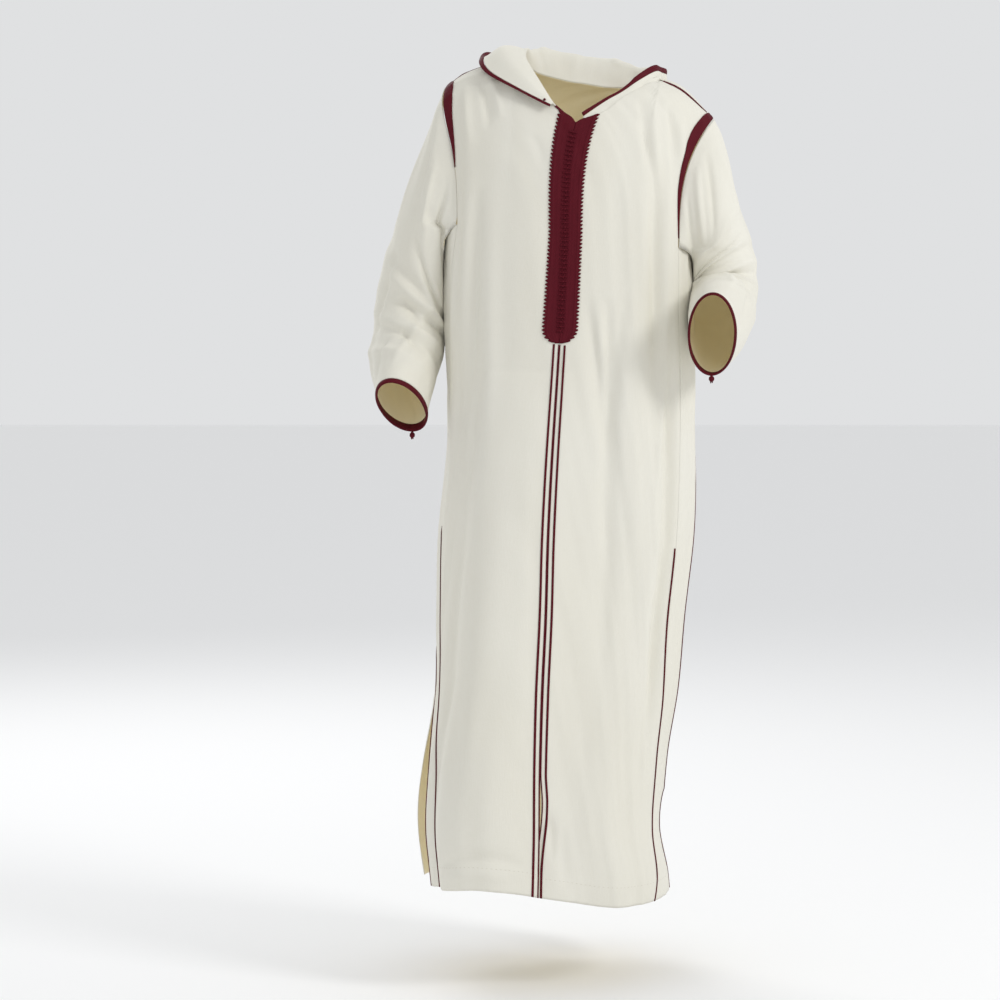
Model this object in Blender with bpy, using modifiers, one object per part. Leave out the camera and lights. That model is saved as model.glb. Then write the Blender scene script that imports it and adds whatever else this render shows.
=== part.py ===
"""A djellaba as worn: a long hooded robe of cream cloth with burgundy braid, cord and knots.

The robe hangs from the wearer's shoulders and keeps the hollow form of a walking figure. +Z is up, the
front faces -Y, and the wearer's left arm is at +X. The origin is between the shoulders, at the root of
the neck. Each cloth piece is a thin wall on a surface worked out from the tables below, and each trim
lies on its panel's own points, moved out. All sizes are in metres and all turns in degrees.

A place on the body has two numbers. Its turn runs round the robe, from 0 at the front seam to 180 at the
middle of the back, towards the wearer's left. Its rise is 0 at the hem, 1 at the underarm, and 2 at the
shoulder seam or the neckline.
"""

import math

import bpy
import numpy as np
from mathutils import Matrix, Vector

CLOTH = 0.0016  # the wall of the robe's cloth
BRAID = 0.0016  # the flat woven braid on the front opening, armholes, hood and cuffs
CORD = 0.0034  # the round cord along the seams, laid flat
KNOT = 0.0022  # how far the closing knots stand up
LAID_GAP = 0.0005  # between a panel and the trim that lies on it
SEAM_TURN = 0.07  # half of the gap at an upright seam, in degrees of turn
SEAM_GAP = 0.0014  # where a sleeve or the hood meets its edge
SLEEVE_STEP = 0.004  # how far a sleeve's cloth steps outward from the armhole's braid

UNDERARM_Z = -0.297
SHOULDER_TILT = 0.020  # how much lower the left underarm is than the middle
SHOULDER_Y = 0.005
TIP_LEFT = 0.225  # the shoulder tips, from the middle
TIP_RIGHT = 0.220
NECK_MIDDLE = -0.006
CHEST_ROUND = 0.77  # the power of the superellipse from the chest over the shoulder
ARMHOLE_CURVE = 3.0
NECK_LEAN = 0.046  # how far the V of the neck leans to the wearer's left
TRAPEZE = 0.16  # the rise of the cloth behind the left shoulder seam
TIP_BULGE = 0.16  # how far the cloth stands out below the right shoulder's tip
RING_ROUND = 2.4  # the squareness of the body's sections

FRONT_SEAM = 70  # turns that the table SEAMS gives for each height
BACK_SEAM = 100
BACK_MIDDLE = 180
NECK_LEFT = 42.7  # turns at which the neckline meets the shoulder seams
NECK_RIGHT = 30.7
METRES_PER_TURN = 0.0033  # along the front, near its middle

PLACKET_FOOT_Z = -0.474
PLACKET_WIDTH = 0.0285  # of each of the two braids, to the tips of the teeth
PLACKET_FLARE = 0.006
TEETH = 61
TOOTH = 0.0042
KNOTS = 45
KNOT_ROW_WIDTH = 0.0072
SIDE_CORD_TOP = 0.54  # the rise at which the cords along the front side seams begin
BACK_CORD_TOP = 0.70
ARMHOLE_BRAID = 4.9  # its width, in degrees of turn
RIM_BRAID = 0.009
RIM_GAP = 0.0010  # from the hood's edge out to its braid
CUFF_BRAID = 0.008
CUFF_KNOT = 0.0048
FRONT_SLIT_Z = -1.17  # below this the front seam is open
CORD_SPACING = 0.0090
LIFT_LEFT = 0.0038  # of the shoulder cords above the seam's middle
LIFT_RIGHT = 0.0031
FRONT_SLIT_STEP = 0.0045

CREAM = (0.83, 0.80, 0.70)
BURGUNDY = (0.105, 0.013, 0.022)


class Table:
    """Rows of named columns. at() reads a column on a smooth curve, at any place along the first."""

    def __init__(self, names, rows):
        self.names = names.split()
        self.rows = np.array(rows, float)

    def column(self, name):
        return self.rows[:, self.names.index(name)]

    def at(self, name, place):
        known, values = self.rows[:, 0], self.column(name)
        slopes = np.gradient(values, known)
        place = np.clip(place, known[0], known[-1])
        i = np.clip(np.searchsorted(known, place, side="right") - 1, 0, len(known) - 2)
        span = known[i + 1] - known[i]
        u = (place - known[i]) / span
        ease = u * u * (3 - 2 * u)
        out = u * (1 - u) ** 2 * span * slopes[i]
        into = u * u * (u - 1) * span * slopes[i + 1]
        return values[i] * (1 - ease) + values[i + 1] * ease + out + into


# Level sections of the body. front and back are depths from centre_y, seam_x is where the front seam runs.
BODY = Table("z half_width centre_x centre_y front back seam_x", [
    (-1.42, 0.196, -0.046, -0.010, 0.172, 0.172, -0.069),
    (-1.36, 0.203, -0.048, -0.010, 0.172, 0.170, -0.068),
    (-1.28, 0.201, -0.058, -0.008, 0.170, 0.166, -0.067),
    (-1.17, 0.201, -0.053, -0.005, 0.166, 0.158, -0.066),
    (-1.05, 0.203, -0.036, -0.002, 0.162, 0.150, -0.062),
    (-0.92, 0.206, -0.028, 0.000, 0.157, 0.144, -0.056),
    (-0.79, 0.211, -0.019, 0.002, 0.151, 0.139, -0.052),
    (-0.65, 0.207, -0.012, 0.004, 0.144, 0.135, -0.045),
    (-0.52, 0.206, -0.013, 0.004, 0.138, 0.131, -0.037),
    (-0.42, 0.206, -0.016, 0.003, 0.132, 0.128, -0.031),
    (-0.27, 0.205, -0.020, 0.000, 0.126, 0.124, -0.024),
])

# Where the side seams run round each section, and how far the vents behind the gores stand open.
SEAMS = Table("z front_left back_left vent_left front_right back_right vent_right", [
    (-1.42, 58, 87, 4.5, -57, -69, 25),
    (-1.30, 63, 87, 4.0, -55, -67, 22),
    (-1.17, 64, 88, 0.5, -58, -69, 13),
    (-1.03, 58, 89, 0.0, -70, -87, 0),
    (-0.85, 57, 89, 0.0, -80, -104, 0),
    (-0.64, 58, 92, 0.0, -82, -114, 0),
    (-0.50, 60, 100, 0.0, -76, -118, 0),
    (-0.27, 63, 114, 0.0, -61, -118, 0),
])

# The hem's height round the robe. The leading leg lifts it at the wearer's front right.
HEM = Table("turn z", [
    (-180, -1.378), (-130, -1.376), (-90, -1.368), (-60, -1.362), (-35, -1.355), (-10, -1.364), (10, -1.378),
    (32, -1.391), (60, -1.394), (90, -1.388), (130, -1.382), (180, -1.378), (230, -1.376), (260, -1.369),
])

# The shoulder seam from the wearer's right tip to the left one, and how far the neckline lies below it.
SHOULDER = Table("x z front_drop back_drop", [
    (-0.220, -0.047, 0, 0), (-0.195, -0.029, 0, 0), (-0.158, -0.013, 0, 0), (-0.125, -0.003, 0, 0),
    (-0.100, 0.002, 0, 0), (-0.085, 0.000, 0.034, 0.008), (-0.060, -0.005, 0.064, 0.014),
    (-0.030, -0.010, 0.088, 0.017), (-0.006, -0.014, 0.097, 0.018), (0.020, -0.018, 0.084, 0.018),
    (0.050, -0.023, 0.063, 0.018), (0.085, -0.028, 0.038, 0.015), (0.120, -0.032, 0.012, 0.006),
    (0.135, -0.037, 0, 0), (0.171, -0.054, 0, 0), (0.205, -0.082, 0, 0), (0.225, -0.100, 0, 0),
])

# The body's main folds. Each runs from its top to its foot; a positive height is a ridge, a negative one a trough.
BODY_FOLDS = Table("top_z top_turn foot_z foot_turn width height", [
    (-0.52, -26, -2.10, -36, 0.095, 0.066),
    (-0.60, 150, -2.10, 152, 0.110, 0.050),
    (-0.12, -62, -0.80, -76, 0.016, 0.006),
    (-0.22, -47, -1.90, -58, 0.020, -0.011),
    (-0.44, 52, -1.20, 48, 0.013, -0.008),
    (-0.42, 60, -1.15, 57, 0.015, 0.004),
    (-0.18, 43, -0.64, 42, 0.018, -0.009),
    (-0.40, 15, -0.72, 16, 0.014, -0.006),
    (-0.38, 28, -0.90, 30, 0.020, 0.006),
    (-0.66, 14, -1.15, 18, 0.018, -0.004),
    (-1.02, -29, -1.50, -30, 0.018, -0.005),
    (-0.90, 30, -1.80, 33, 0.030, 0.008),
    (-0.36, 133, -1.90, 128, 0.022, 0.010),
    (-0.42, 160, -1.90, 166, 0.024, -0.012),
    (-0.36, 186, -1.90, 190, 0.024, 0.011),
    (-0.45, 206, -1.90, 212, 0.022, -0.011),
    (-0.38, 228, -1.80, 232, 0.020, 0.009),
    (-1.05, 252, -1.60, 256, 0.022, 0.004),
    (-1.22, 86, -1.39, 86, 0.050, -0.008),
])

# Sections of the sleeves, with x measured outward. The section's plane faces along drop, below level, and heading,
# from outward round to forward. reach is half its size across the arm and depth half its size from front to back;
# roll turns them about the arm.
LEFT_SLEEVE = Table("station x y z reach depth drop heading roll", [
    (0.00, 0.205, 0.000, -0.208, 0.110, 0.072, 10, 0, 0),
    (0.12, 0.215, 0.004, -0.240, 0.089, 0.080, 18, 0, 0),
    (0.26, 0.226, 0.012, -0.290, 0.066, 0.081, 32, 4, 0),
    (0.41, 0.236, 0.026, -0.342, 0.065, 0.079, 50, 16, 0),
    (0.56, 0.235, 0.036, -0.385, 0.064, 0.077, 66, 48, 0),
    (0.70, 0.235, 0.005, -0.412, 0.057, 0.076, 45, 88, -4),
    (0.85, 0.224, -0.085, -0.437, 0.050, 0.075, 30, 94, -10),
    (1.00, 0.206, -0.182, -0.459, 0.038, 0.072, 26, 98, -16),
])
RIGHT_SLEEVE = Table("station x y z reach depth drop heading roll", [
    (0.00, 0.219, 0.000, -0.162, 0.115, 0.072, 4, 0, 0),
    (0.12, 0.235, 0.005, -0.208, 0.087, 0.079, 8, 0, 0),
    (0.25, 0.247, 0.012, -0.258, 0.072, 0.080, 19, 0, 0),
    (0.40, 0.260, 0.022, -0.322, 0.062, 0.079, 42, 6, 0),
    (0.55, 0.272, 0.028, -0.398, 0.062, 0.078, 66, 20, 0),
    (0.70, 0.277, 0.018, -0.462, 0.061, 0.078, 76, 60, -5),
    (0.85, 0.284, -0.020, -0.518, 0.054, 0.076, 66, 84, -14),
    (1.00, 0.288, -0.065, -0.573, 0.038, 0.072, 54, 88, -25),
])

# Creases across the sleeves. turn runs round the arm, 0 outside and 90 in front; slant moves a crease along the arm.
CREASES = "station turn spread width slant height"
LEFT_CREASES = Table(CREASES, [
    (0.30, 75, 70, 0.030, 0.0006, 0.004),
    (0.46, 80, 85, 0.022, 0.0004, -0.007),
    (0.52, 85, 90, 0.022, 0.0004, 0.006),
    (0.58, 80, 80, 0.020, 0.0005, -0.007),
    (0.65, 85, 80, 0.024, 0.0006, 0.006),
    (0.73, 60, 70, 0.024, 0.0008, -0.005),
    (0.60, 250, 70, 0.030, -0.0006, 0.006),
    (0.82, 40, 70, 0.030, 0.0010, 0.004),
])
RIGHT_CREASES = Table(CREASES, [
    (0.22, 120, 60, 0.030, -0.0012, -0.004),
    (0.52, 70, 70, 0.026, 0.0012, -0.006),
    (0.58, 90, 80, 0.024, 0.0012, 0.006),
    (0.64, 110, 70, 0.022, 0.0010, -0.007),
    (0.70, 80, 80, 0.024, 0.0008, 0.006),
    (0.76, 100, 70, 0.020, 0.0010, -0.006),
    (0.83, 60, 80, 0.026, 0.0008, 0.005),
    (0.62, 260, 70, 0.030, -0.0006, 0.005),
])

# The hood lies down behind the neck. along runs from the wearer's right end of its seam, -1, over the back, 0, to the
# left end, 1. From its neck seam the cloth passes its crest and its foot and ends at the rim.
HOOD = Table("along crest_x crest_y crest_z foot_x foot_y foot_z rim_x rim_y rim_z", [
    (-1.00, -0.043, -0.105, -0.084, -0.045, -0.108, -0.083, -0.048, -0.111, -0.085),
    (-0.85, -0.065, -0.082, -0.046, -0.083, -0.099, -0.046, -0.101, -0.102, -0.057),
    (-0.70, -0.085, -0.036, -0.008, -0.116, -0.064, -0.006, -0.146, -0.073, -0.028),
    (-0.50, -0.086, 0.022, 0.016, -0.125, 0.014, 0.018, -0.156, -0.016, 0.002),
    (-0.25, -0.064, 0.082, 0.026, -0.108, 0.150, -0.120, -0.114, 0.122, 0.002),
    (0.00, 0.008, 0.102, 0.014, 0.010, 0.178, -0.350, 0.010, 0.180, -0.040),
    (0.25, 0.080, 0.086, 0.004, 0.124, 0.150, -0.150, 0.122, 0.126, -0.026),
    (0.40, 0.124, 0.050, -0.012, 0.150, 0.060, -0.048, 0.149, 0.045, -0.021),
    (0.50, 0.137, 0.004, -0.027, 0.137, -0.003, -0.0235, 0.130, -0.010, -0.021),
    (0.60, 0.1012, -0.0568, -0.0466, 0.0995, -0.0560, -0.0440, 0.0980, -0.0550, -0.041),
    (0.70, 0.0748, -0.0747, -0.0640, 0.0740, -0.0735, -0.0615, 0.0732, -0.0724, -0.059),
    (0.85, 0.0448, -0.0935, -0.0858, 0.0437, -0.0912, -0.0818, 0.0427, -0.0890, -0.0775),
    (1.00, 0.0045, -0.1062, -0.1065, 0.005, -0.106, -0.105, 0.0055, -0.106, -0.1035),
])
HOOD_KNOTS = np.array([0, 0.22, 0.62, 1])  # the share of the hood's depth at its seam, crest, foot and rim
NECK_CENTRE = np.array([0.015, -0.02, 0])
NECK_INWARD = 0.7
HOOD_END_LEFT = 3.0  # turns at which the hood's seam begins beside the front braid
HOOD_END_RIGHT = 11.6


def blend(low, high, share):
    return low + (high - low) * share


def ease(share):
    share = np.clip(share, 0, 1)
    return share * share * (3 - 2 * share)


def unit(vectors):
    return vectors / np.maximum(np.linalg.norm(vectors, axis=-1, keepdims=True), 1e-12)


def normals_of(points):
    """The unit normals of a grid of points: the cross of its way along a row and its way along a column."""
    return unit(np.cross(np.gradient(points, axis=1), np.gradient(points, axis=0)))


def true_turn(turn, z, back_panel):
    """A turn named by its seams made the real one at this height, by steps between the seams."""
    vent_left, vent_right = (
        np.where(back_panel, np.clip(SEAMS.at(f"vent_{side}", z), 0, None), 0) for side in ("left", "right")
    )
    middle = np.degrees(np.arcsin((BODY.at("seam_x", z) - BODY.at("centre_x", z)) / BODY.at("half_width", z)))
    left, left_back = SEAMS.at("front_left", z), SEAMS.at("back_left", z) + vent_left
    right, right_back = SEAMS.at("front_right", z), SEAMS.at("back_right", z) - vent_right
    turn = np.where(turn > BACK_MIDDLE, turn - 360, turn)
    side = FRONT_SEAM, BACK_SEAM - FRONT_SEAM, BACK_MIDDLE - BACK_SEAM
    on_left = np.select(
        [turn <= FRONT_SEAM, turn <= BACK_SEAM],
        [blend(middle, left, turn / side[0]), blend(left, left_back, (turn - FRONT_SEAM) / side[1])],
        blend(left_back, BACK_MIDDLE, (turn - BACK_SEAM) / side[2]),
    )
    on_right = np.select(
        [-turn <= FRONT_SEAM, -turn <= BACK_SEAM],
        [blend(middle, right, -turn / side[0]), blend(right, right_back, (-turn - FRONT_SEAM) / side[1])],
        blend(right_back, -BACK_MIDDLE, (-turn - BACK_SEAM) / side[2]),
    )
    return np.where(turn >= 0, on_left, on_right)


def section(turn, z):
    """A point of the body's level section: x follows the sine of the turn, y a superellipse."""
    across, along = np.sin(np.radians(turn)), np.cos(np.radians(turn))
    bulge = np.clip(1 - np.abs(across) ** RING_ROUND, 0, None) ** (1 / RING_ROUND)
    depth = np.where(along > 0, -BODY.at("front", z), BODY.at("back", z))
    x = BODY.at("centre_x", z) + BODY.at("half_width", z) * across
    return np.stack([x, BODY.at("centre_y", z) + depth * bulge, z], axis=-1)


def underarm_z(turn):
    return UNDERARM_Z - SHOULDER_TILT * np.sin(np.radians(turn))


def shoulder_share(turn):
    """How far a turn lies out along the shoulder seam: -1 at the right tip, 0 at the middle, 1 at the left tip."""
    return np.where(
        np.abs(turn) <= FRONT_SEAM, turn / FRONT_SEAM, (BACK_MIDDLE - turn) / (BACK_MIDDLE - BACK_SEAM)
    )


def seam_point(turn):
    """The point of the shoulder seam, or of its line across the neck, that a turn runs up to."""
    share = shoulder_share(turn)
    tip = np.where(share > 0, TIP_LEFT, TIP_RIGHT)
    x = NECK_MIDDLE * (1 - np.abs(share)) + share * tip
    return np.stack([x, np.full_like(x, SHOULDER_Y), SHOULDER.at("z", x)], axis=-1)


def behind(turn):
    """The turn on the back panel that meets a front turn at the shoulder seam."""
    turn = BACK_MIDDLE - turn * (BACK_MIDDLE - BACK_SEAM) / FRONT_SEAM
    return turn


def last_lean(turn, foot_z):
    """The lean of the cloth at its top edge: a right angle at the shoulder seam, and less at the neckline."""
    top = seam_point(turn)
    name = "front_drop" if np.all(np.abs(turn) <= FRONT_SEAM) else "back_drop"
    drop = np.clip(SHOULDER.at(name, top[..., 0]), 0, None)
    height = np.clip(1 - drop / (top[..., 2] - foot_z), 0, 1)
    return np.arcsin(height ** (1 / CHEST_ROUND))


def body_shape(turn, rise):
    """The smooth body, without folds: level sections up to the underarm, then superellipses over the shoulder."""
    turn, rise = np.broadcast_arrays(np.asarray(turn, float), np.asarray(rise, float))
    back_panel = (turn > BACK_SEAM) & (turn < 360 - BACK_SEAM)
    foot_z = underarm_z(turn)
    z = blend(HEM.at("z", turn), foot_z, np.clip(rise, 0, 1))
    low = section(true_turn(turn, z, back_panel), z)
    foot = section(true_turn(turn, foot_z, back_panel), foot_z)
    top = seam_point(turn)
    lean = np.clip(rise - 1, 0, 1) * last_lean(turn, foot_z)
    up, out = np.sin(lean) ** CHEST_ROUND, np.clip(np.cos(lean), 0, None) ** CHEST_ROUND
    share, in_front = shoulder_share(turn), np.abs(turn) <= FRONT_SEAM
    bulge = TIP_BULGE * np.clip(-share, 0, 1) ** 3 * up**4 * (1 - up)
    shift = np.where(in_front, NECK_LEAN * ease((0.40 - np.abs(share)) / 0.28), 0) * up**ARMHOLE_CURVE
    hump = np.where(in_front, 0, TRAPEZE * np.sin(np.pi * np.clip((share - 0.55) / 0.45, 0, 1)) * out * (1 - out) ** 4)
    high = np.stack([
        blend(foot[..., 0], top[..., 0], up**ARMHOLE_CURVE) - bulge + shift,
        blend(top[..., 1], foot[..., 1], out),
        blend(foot[..., 2], top[..., 2], up) + hump,
    ], axis=-1)
    return np.where((rise > 1)[..., None], high, low)


def fold_height(turn, z):
    """The sum of the body's folds: each fades towards its ends and falls off across as a bell curve."""
    total = np.zeros(np.shape(turn))
    for top_z, top_turn, foot_z, foot_turn, width, height in BODY_FOLDS.rows:
        share = np.clip((top_z - z) / (top_z - foot_z), 0, 1)
        apart = (turn - blend(top_turn, foot_turn, share) + 180) % 360 - 180
        across = np.radians(apart) * BODY.at("half_width", z) / width
        total += height * np.sin(np.pi * share) ** 0.7 * np.exp(-across * across)
    return total


def slit_step(turn, z):
    """At the foot of the front seam the right edge lies over the left one."""
    open_share = ease((FRONT_SLIT_Z - 0.03 - z) / 0.10)
    near = np.exp(-((turn / 7) ** 2))
    return np.where(turn > 0, -1.0, 0.35) * FRONT_SLIT_STEP * open_share * near


class Panel:
    """A panel of the body, as a grid with a row for each rise and a column for each turn."""

    def __init__(self, turns, rises):
        self.turns, self.rises = np.array(turns, float), np.array(rises, float)
        turn, rise = np.meshgrid(self.turns, self.rises)
        smooth = body_shape(turn, rise)
        z = smooth[..., 2]
        real = true_turn(turn, np.minimum(z, underarm_z(turn)), False)
        real = np.where(np.abs(turn) > FRONT_SEAM, real % 360, real)
        height = fold_height(real, z)
        if np.abs(self.turns).max() <= FRONT_SEAM:
            height += slit_step(turn, z)
        self.points = smooth + normals_of(smooth) * height[..., None]
        if 0 < np.abs(self.turns).min() < 1 and self.turns.max() > FRONT_SEAM / 2:
            self.points[..., 0] -= slit_shift(turn, z)
        self.normals = normals_of(self.points)

    def at(self, turn, rise, out):
        """The panel's own points, read between its rows and columns and moved out along its normals."""
        turn, rise = np.broadcast_arrays(np.asarray(turn, float), np.asarray(rise, float))
        j = np.clip(np.searchsorted(self.turns, turn, side="right") - 1, 0, len(self.turns) - 2)
        i = np.clip(np.searchsorted(self.rises, rise, side="right") - 1, 0, len(self.rises) - 2)
        across = ((turn - self.turns[j]) / (self.turns[j + 1] - self.turns[j]))[..., None]
        along = ((rise - self.rises[i]) / (self.rises[i + 1] - self.rises[i]))[..., None]
        point, normal = (
            blend(blend(g[i, j], g[i, j + 1], across), blend(g[i + 1, j], g[i + 1, j + 1], across), along)
            for g in (self.points, self.normals)
        )
        return point + unit(normal) * np.asarray(out, float)[..., None]


def slit_shift(turn, z):
    """The left edge of the front slit stands open at first, and passes under the right one at the hem."""
    open_share = ease((FRONT_SLIT_Z - z) / 0.05)
    under_share = ease((FRONT_SLIT_Z - 0.05 - z) / 0.12)
    return (0.009 * under_share - 0.003 * open_share) * np.exp(-((turn / 9) ** 2))


def rise_of(turn, z):
    """The rise at which a front turn reaches a height."""
    foot_z = underarm_z(turn)
    low = (z - HEM.at("z", turn)) / (foot_z - HEM.at("z", turn))
    up = np.clip((z - foot_z) / (seam_point(turn)[..., 2] - foot_z), 0, 1)
    high = 1 + np.arcsin(up ** (1 / CHEST_ROUND)) / last_lean(turn, foot_z)
    return np.where(z > foot_z, np.minimum(high, 2), low)


def armhole(turn, side):
    """The armhole's edge at a turn round the arm: the front edge, the top of the gore, and the back edge."""
    front_corner, back_corner = 150, 210
    turn = np.asarray(turn, float) % 360
    down = body_shape(side * FRONT_SEAM, 2 - np.clip(turn / front_corner, 0, 1))
    back = BACK_SEAM + 0.001 if side > 0 else 360 - BACK_SEAM - 0.001
    upward = body_shape(back, 1 + np.clip((turn - back_corner) / front_corner, 0, 1))
    share = np.clip((turn - front_corner) / (back_corner - front_corner), 0, 1)
    under = body_shape(side * blend(FRONT_SEAM, BACK_SEAM, share), 1.0) + (0, 0, 2 * SEAM_GAP)
    turn = turn[..., None]
    edge = np.select([turn <= front_corner, turn >= back_corner], [down, upward], under)
    return edge * (side, 1, 1)


def sleeve_frames(table):
    """For each row of a sleeve's table, the way along the arm and the way out across it, carried without twist."""
    drop, heading = np.radians(table.column("drop")), np.radians(table.column("heading"))
    along = np.stack([
        np.cos(drop) * np.cos(heading), -np.cos(drop) * np.sin(heading), -np.sin(drop)
    ], axis=-1)
    outward = [np.array([math.sin(drop[0]), 0, math.cos(drop[0])])]
    for before, after in zip(along[:-1], along[1:]):
        turned = Vector(before).rotation_difference(Vector(after)) @ Vector(outward[-1])
        outward.append(np.array(turned))
    return along, np.array(outward)


def sleeve_shape(table, creases, side, turns, stations):
    """A sleeve as rings round the arm: ellipses in the table's planes, eased from the armhole's own edge."""
    along, outward = sleeve_frames(table)
    names = [f"{name}_{axis}" for name in ("along", "out") for axis in "xyz"]
    frames = Table("station " + " ".join(names), np.hstack([table.rows[:, :1], along, outward]))

    def rings(turn, station):
        ways = [np.stack([frames.at(name, station) for name in names[k:k + 3]], axis=-1) for k in (0, 3)]
        way = unit(ways[0])
        out = unit(ways[1] - way * (ways[1] * way).sum(-1, keepdims=True))
        fore = np.cross(way, out)
        roll = np.radians(table.at("roll", station))[..., None]
        out, fore = out * np.cos(roll) + fore * np.sin(roll), fore * np.cos(roll) - out * np.sin(roll)
        centre = np.stack([table.at(name, station) for name in "xyz"], axis=-1)
        cos, sin = np.cos(np.radians(turn))[..., None], np.sin(np.radians(turn))[..., None]
        reach, depth = table.at("reach", station)[..., None], table.at("depth", station)[..., None]
        return centre + out * cos * reach + fore * sin * depth

    turn, station = np.meshgrid(np.asarray(turns, float), np.asarray(stations, float))
    fade = (1 - ease(station / 0.30))[..., None]
    points = rings(turn, station) + fade * (armhole(turn, side) - rings(turn, np.zeros_like(station)))
    points[..., 0] += SEAM_GAP + SLEEVE_STEP * ease(station / 0.06)
    total = np.zeros_like(turn)
    for place, middle, spread, width, slant, height in creases.rows:
        apart = (turn - middle + 180) % 360 - 180
        across = (station - place - slant * apart) / width
        total += height * np.exp(-across * across - (apart / spread) ** 2)
    points = points + normals_of(points) * total[..., None]
    return clear_of_body(points, side) * (side, 1, 1)


def clear_of_body(points, side):
    """Points beside the body moved outward until the sleeve just clears the cloth that it hangs against."""
    x, y, z = points[..., 0], points[..., 1], points[..., 2]
    depth = np.where(y < BODY.at("centre_y", z), BODY.at("front", z), BODY.at("back", z))
    inward = np.clip(np.abs(y - BODY.at("centre_y", z)) / (depth + 0.008), 0, 1)
    half = BODY.at("half_width", z) * np.clip(1 - inward**RING_ROUND, 0, None) ** (1 / RING_ROUND)
    side_x = side * BODY.at("centre_x", z) + half + 0.009
    below = ease((UNDERARM_Z - side * SHOULDER_TILT + 0.004 - z) / 0.012)
    return np.stack([np.where(inward < 1, np.maximum(x, blend(x, side_x, below)), x), y, z], axis=-1)


def neck_seam():
    """The panels' own points along the neckline, from its right end to its left one, and their places from -1 to 1."""
    def between(turns, low, high):
        return np.concatenate([[low], turns[(turns > low + 0.1) & (turns < high - 0.1)], [high]])

    right = between(front_right.turns, -NECK_RIGHT, -HOOD_END_RIGHT)[::-1]
    middle = between(back.turns, behind(NECK_LEFT), behind(-NECK_RIGHT))[::-1][1:-1]
    left = between(front_left.turns, HOOD_END_LEFT, NECK_LEFT)[::-1]
    width = np.where(middle < BACK_MIDDLE, NECK_LEFT, NECK_RIGHT) / FRONT_SEAM * (BACK_MIDDLE - BACK_SEAM)
    places = np.concatenate([
        -0.5 - 0.5 * (right + NECK_RIGHT) / (NECK_RIGHT - HOOD_END_RIGHT),
        0.5 * (BACK_MIDDLE - middle) / width,
        0.5 + 0.5 * (NECK_LEFT - left) / (NECK_LEFT - HOOD_END_LEFT),
    ])
    points = [panel.at(turns, RISES[-1], 0.0) for panel, turns in
              ((front_right, right), (back, middle), (front_left, left))]
    return places, np.concatenate(points)


def neck_edge(along):
    """The edge that the hood is sewn to, and the way up and inward from it, square to the edge."""
    places, points = neck_seam()
    edge = np.stack([np.interp(along, places, points[:, k]) for k in range(3)], axis=-1)
    inward = unit((NECK_CENTRE - edge) * (1, 1, 0)) * NECK_INWARD + (0, 0, 1)
    tangent = unit(np.gradient(edge, axis=0))
    return edge, unit(inward - tangent * (inward * tangent).sum(-1, keepdims=True))


def hood_shape(alongs, depths):
    """The hood as a grid: from the neck seam over its crest, down to its foot and up to the rim."""
    edge, way = neck_edge(alongs)
    knots = [edge + way * 1.5 * SEAM_GAP]
    for name in ("crest", "foot", "rim"):
        knots.append(np.stack([HOOD.at(f"{name}_{axis}", alongs) for axis in "xyz"], axis=-1))
    values = np.stack(knots)
    columns = []
    for k in range(3):
        line = [Table("depth value", np.stack([HOOD_KNOTS, values[:, j, k]], axis=-1)).at("value", depths)
                for j in range(len(alongs))]
        columns.append(np.stack(line, axis=-1))
    return np.stack(columns, axis=-1)


def material(name, colour, roughness):
    made = bpy.data.materials.new(name)
    made.use_nodes = True
    shader = made.node_tree.nodes["Principled BSDF"]
    shader.inputs["Base Color"].default_value = (*colour, 1)
    shader.inputs["Roughness"].default_value = roughness
    shader.inputs["Metallic"].default_value = 0.0
    return made


def grid_faces(rows, columns, closed):
    """Four-sided faces between neighbouring rows and columns of a grid of points."""
    count = columns if closed else columns - 1
    return [
        (i * columns + j, i * columns + (j + 1) % columns, (i + 1) * columns + (j + 1) % columns, (i + 1) * columns + j)
        for i in range(rows - 1)
        for j in range(count)
    ]


def add_mesh(name, points, faces, finish):
    mesh = bpy.data.meshes.new(name)
    mesh.from_pydata(points.reshape(-1, 3).tolist(), [], faces)
    mesh.materials.append(finish)
    mesh.shade_smooth()
    made = bpy.data.objects.new(name, mesh)
    robe.objects.link(made)
    return made


def sheet(name, points, thickness, finish, closed=False):
    """A cloth wall: the grid as an open surface, given its thickness by Solidify, half to each side."""
    rows, columns = points.shape[:2]
    made = add_mesh(name, points, grid_faces(rows, columns, closed), finish)
    wall = made.modifiers.new("wall", "SOLIDIFY")
    wall.thickness = thickness
    wall.offset = 0
    return made


def relief(name, outer, inner, finish):
    """A wall whose outer points are raised over a plain inside: two grids, joined round their edges."""
    rows, columns = outer.shape[:2]
    count = rows * columns
    faces = grid_faces(rows, columns, False)
    faces += [tuple(count + k for k in reversed(face)) for face in grid_faces(rows, columns, False)]
    border = [(0, j) for j in range(columns)] + [(i, columns - 1) for i in range(1, rows)]
    border += [(rows - 1, j) for j in range(columns - 2, -1, -1)] + [(i, 0) for i in range(rows - 2, 0, -1)]
    ring = [i * columns + j for i, j in border]
    faces += [(b, a, a + count, b + count) for a, b in zip(ring, ring[1:] + ring[:1])]
    return add_mesh(name, np.concatenate([outer.reshape(-1, 3), inner.reshape(-1, 3)]), faces, finish)


def knot(name, place, size):
    """A hand-tied cord knot: a small round ball, slightly flattened, made from a sphere."""
    bpy.ops.mesh.primitive_uv_sphere_add(segments=10, ring_count=7, radius=size, location=place)
    made = bpy.context.object
    made.name = name
    made.data.name = name
    made.data.transform(Matrix.Diagonal((1, 0.85, 1.15, 1)))
    made.data.materials.append(burgundy)
    made.data.shade_smooth()
    for other in made.users_collection:
        other.objects.unlink(made)
    robe.objects.link(made)
    return made


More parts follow.
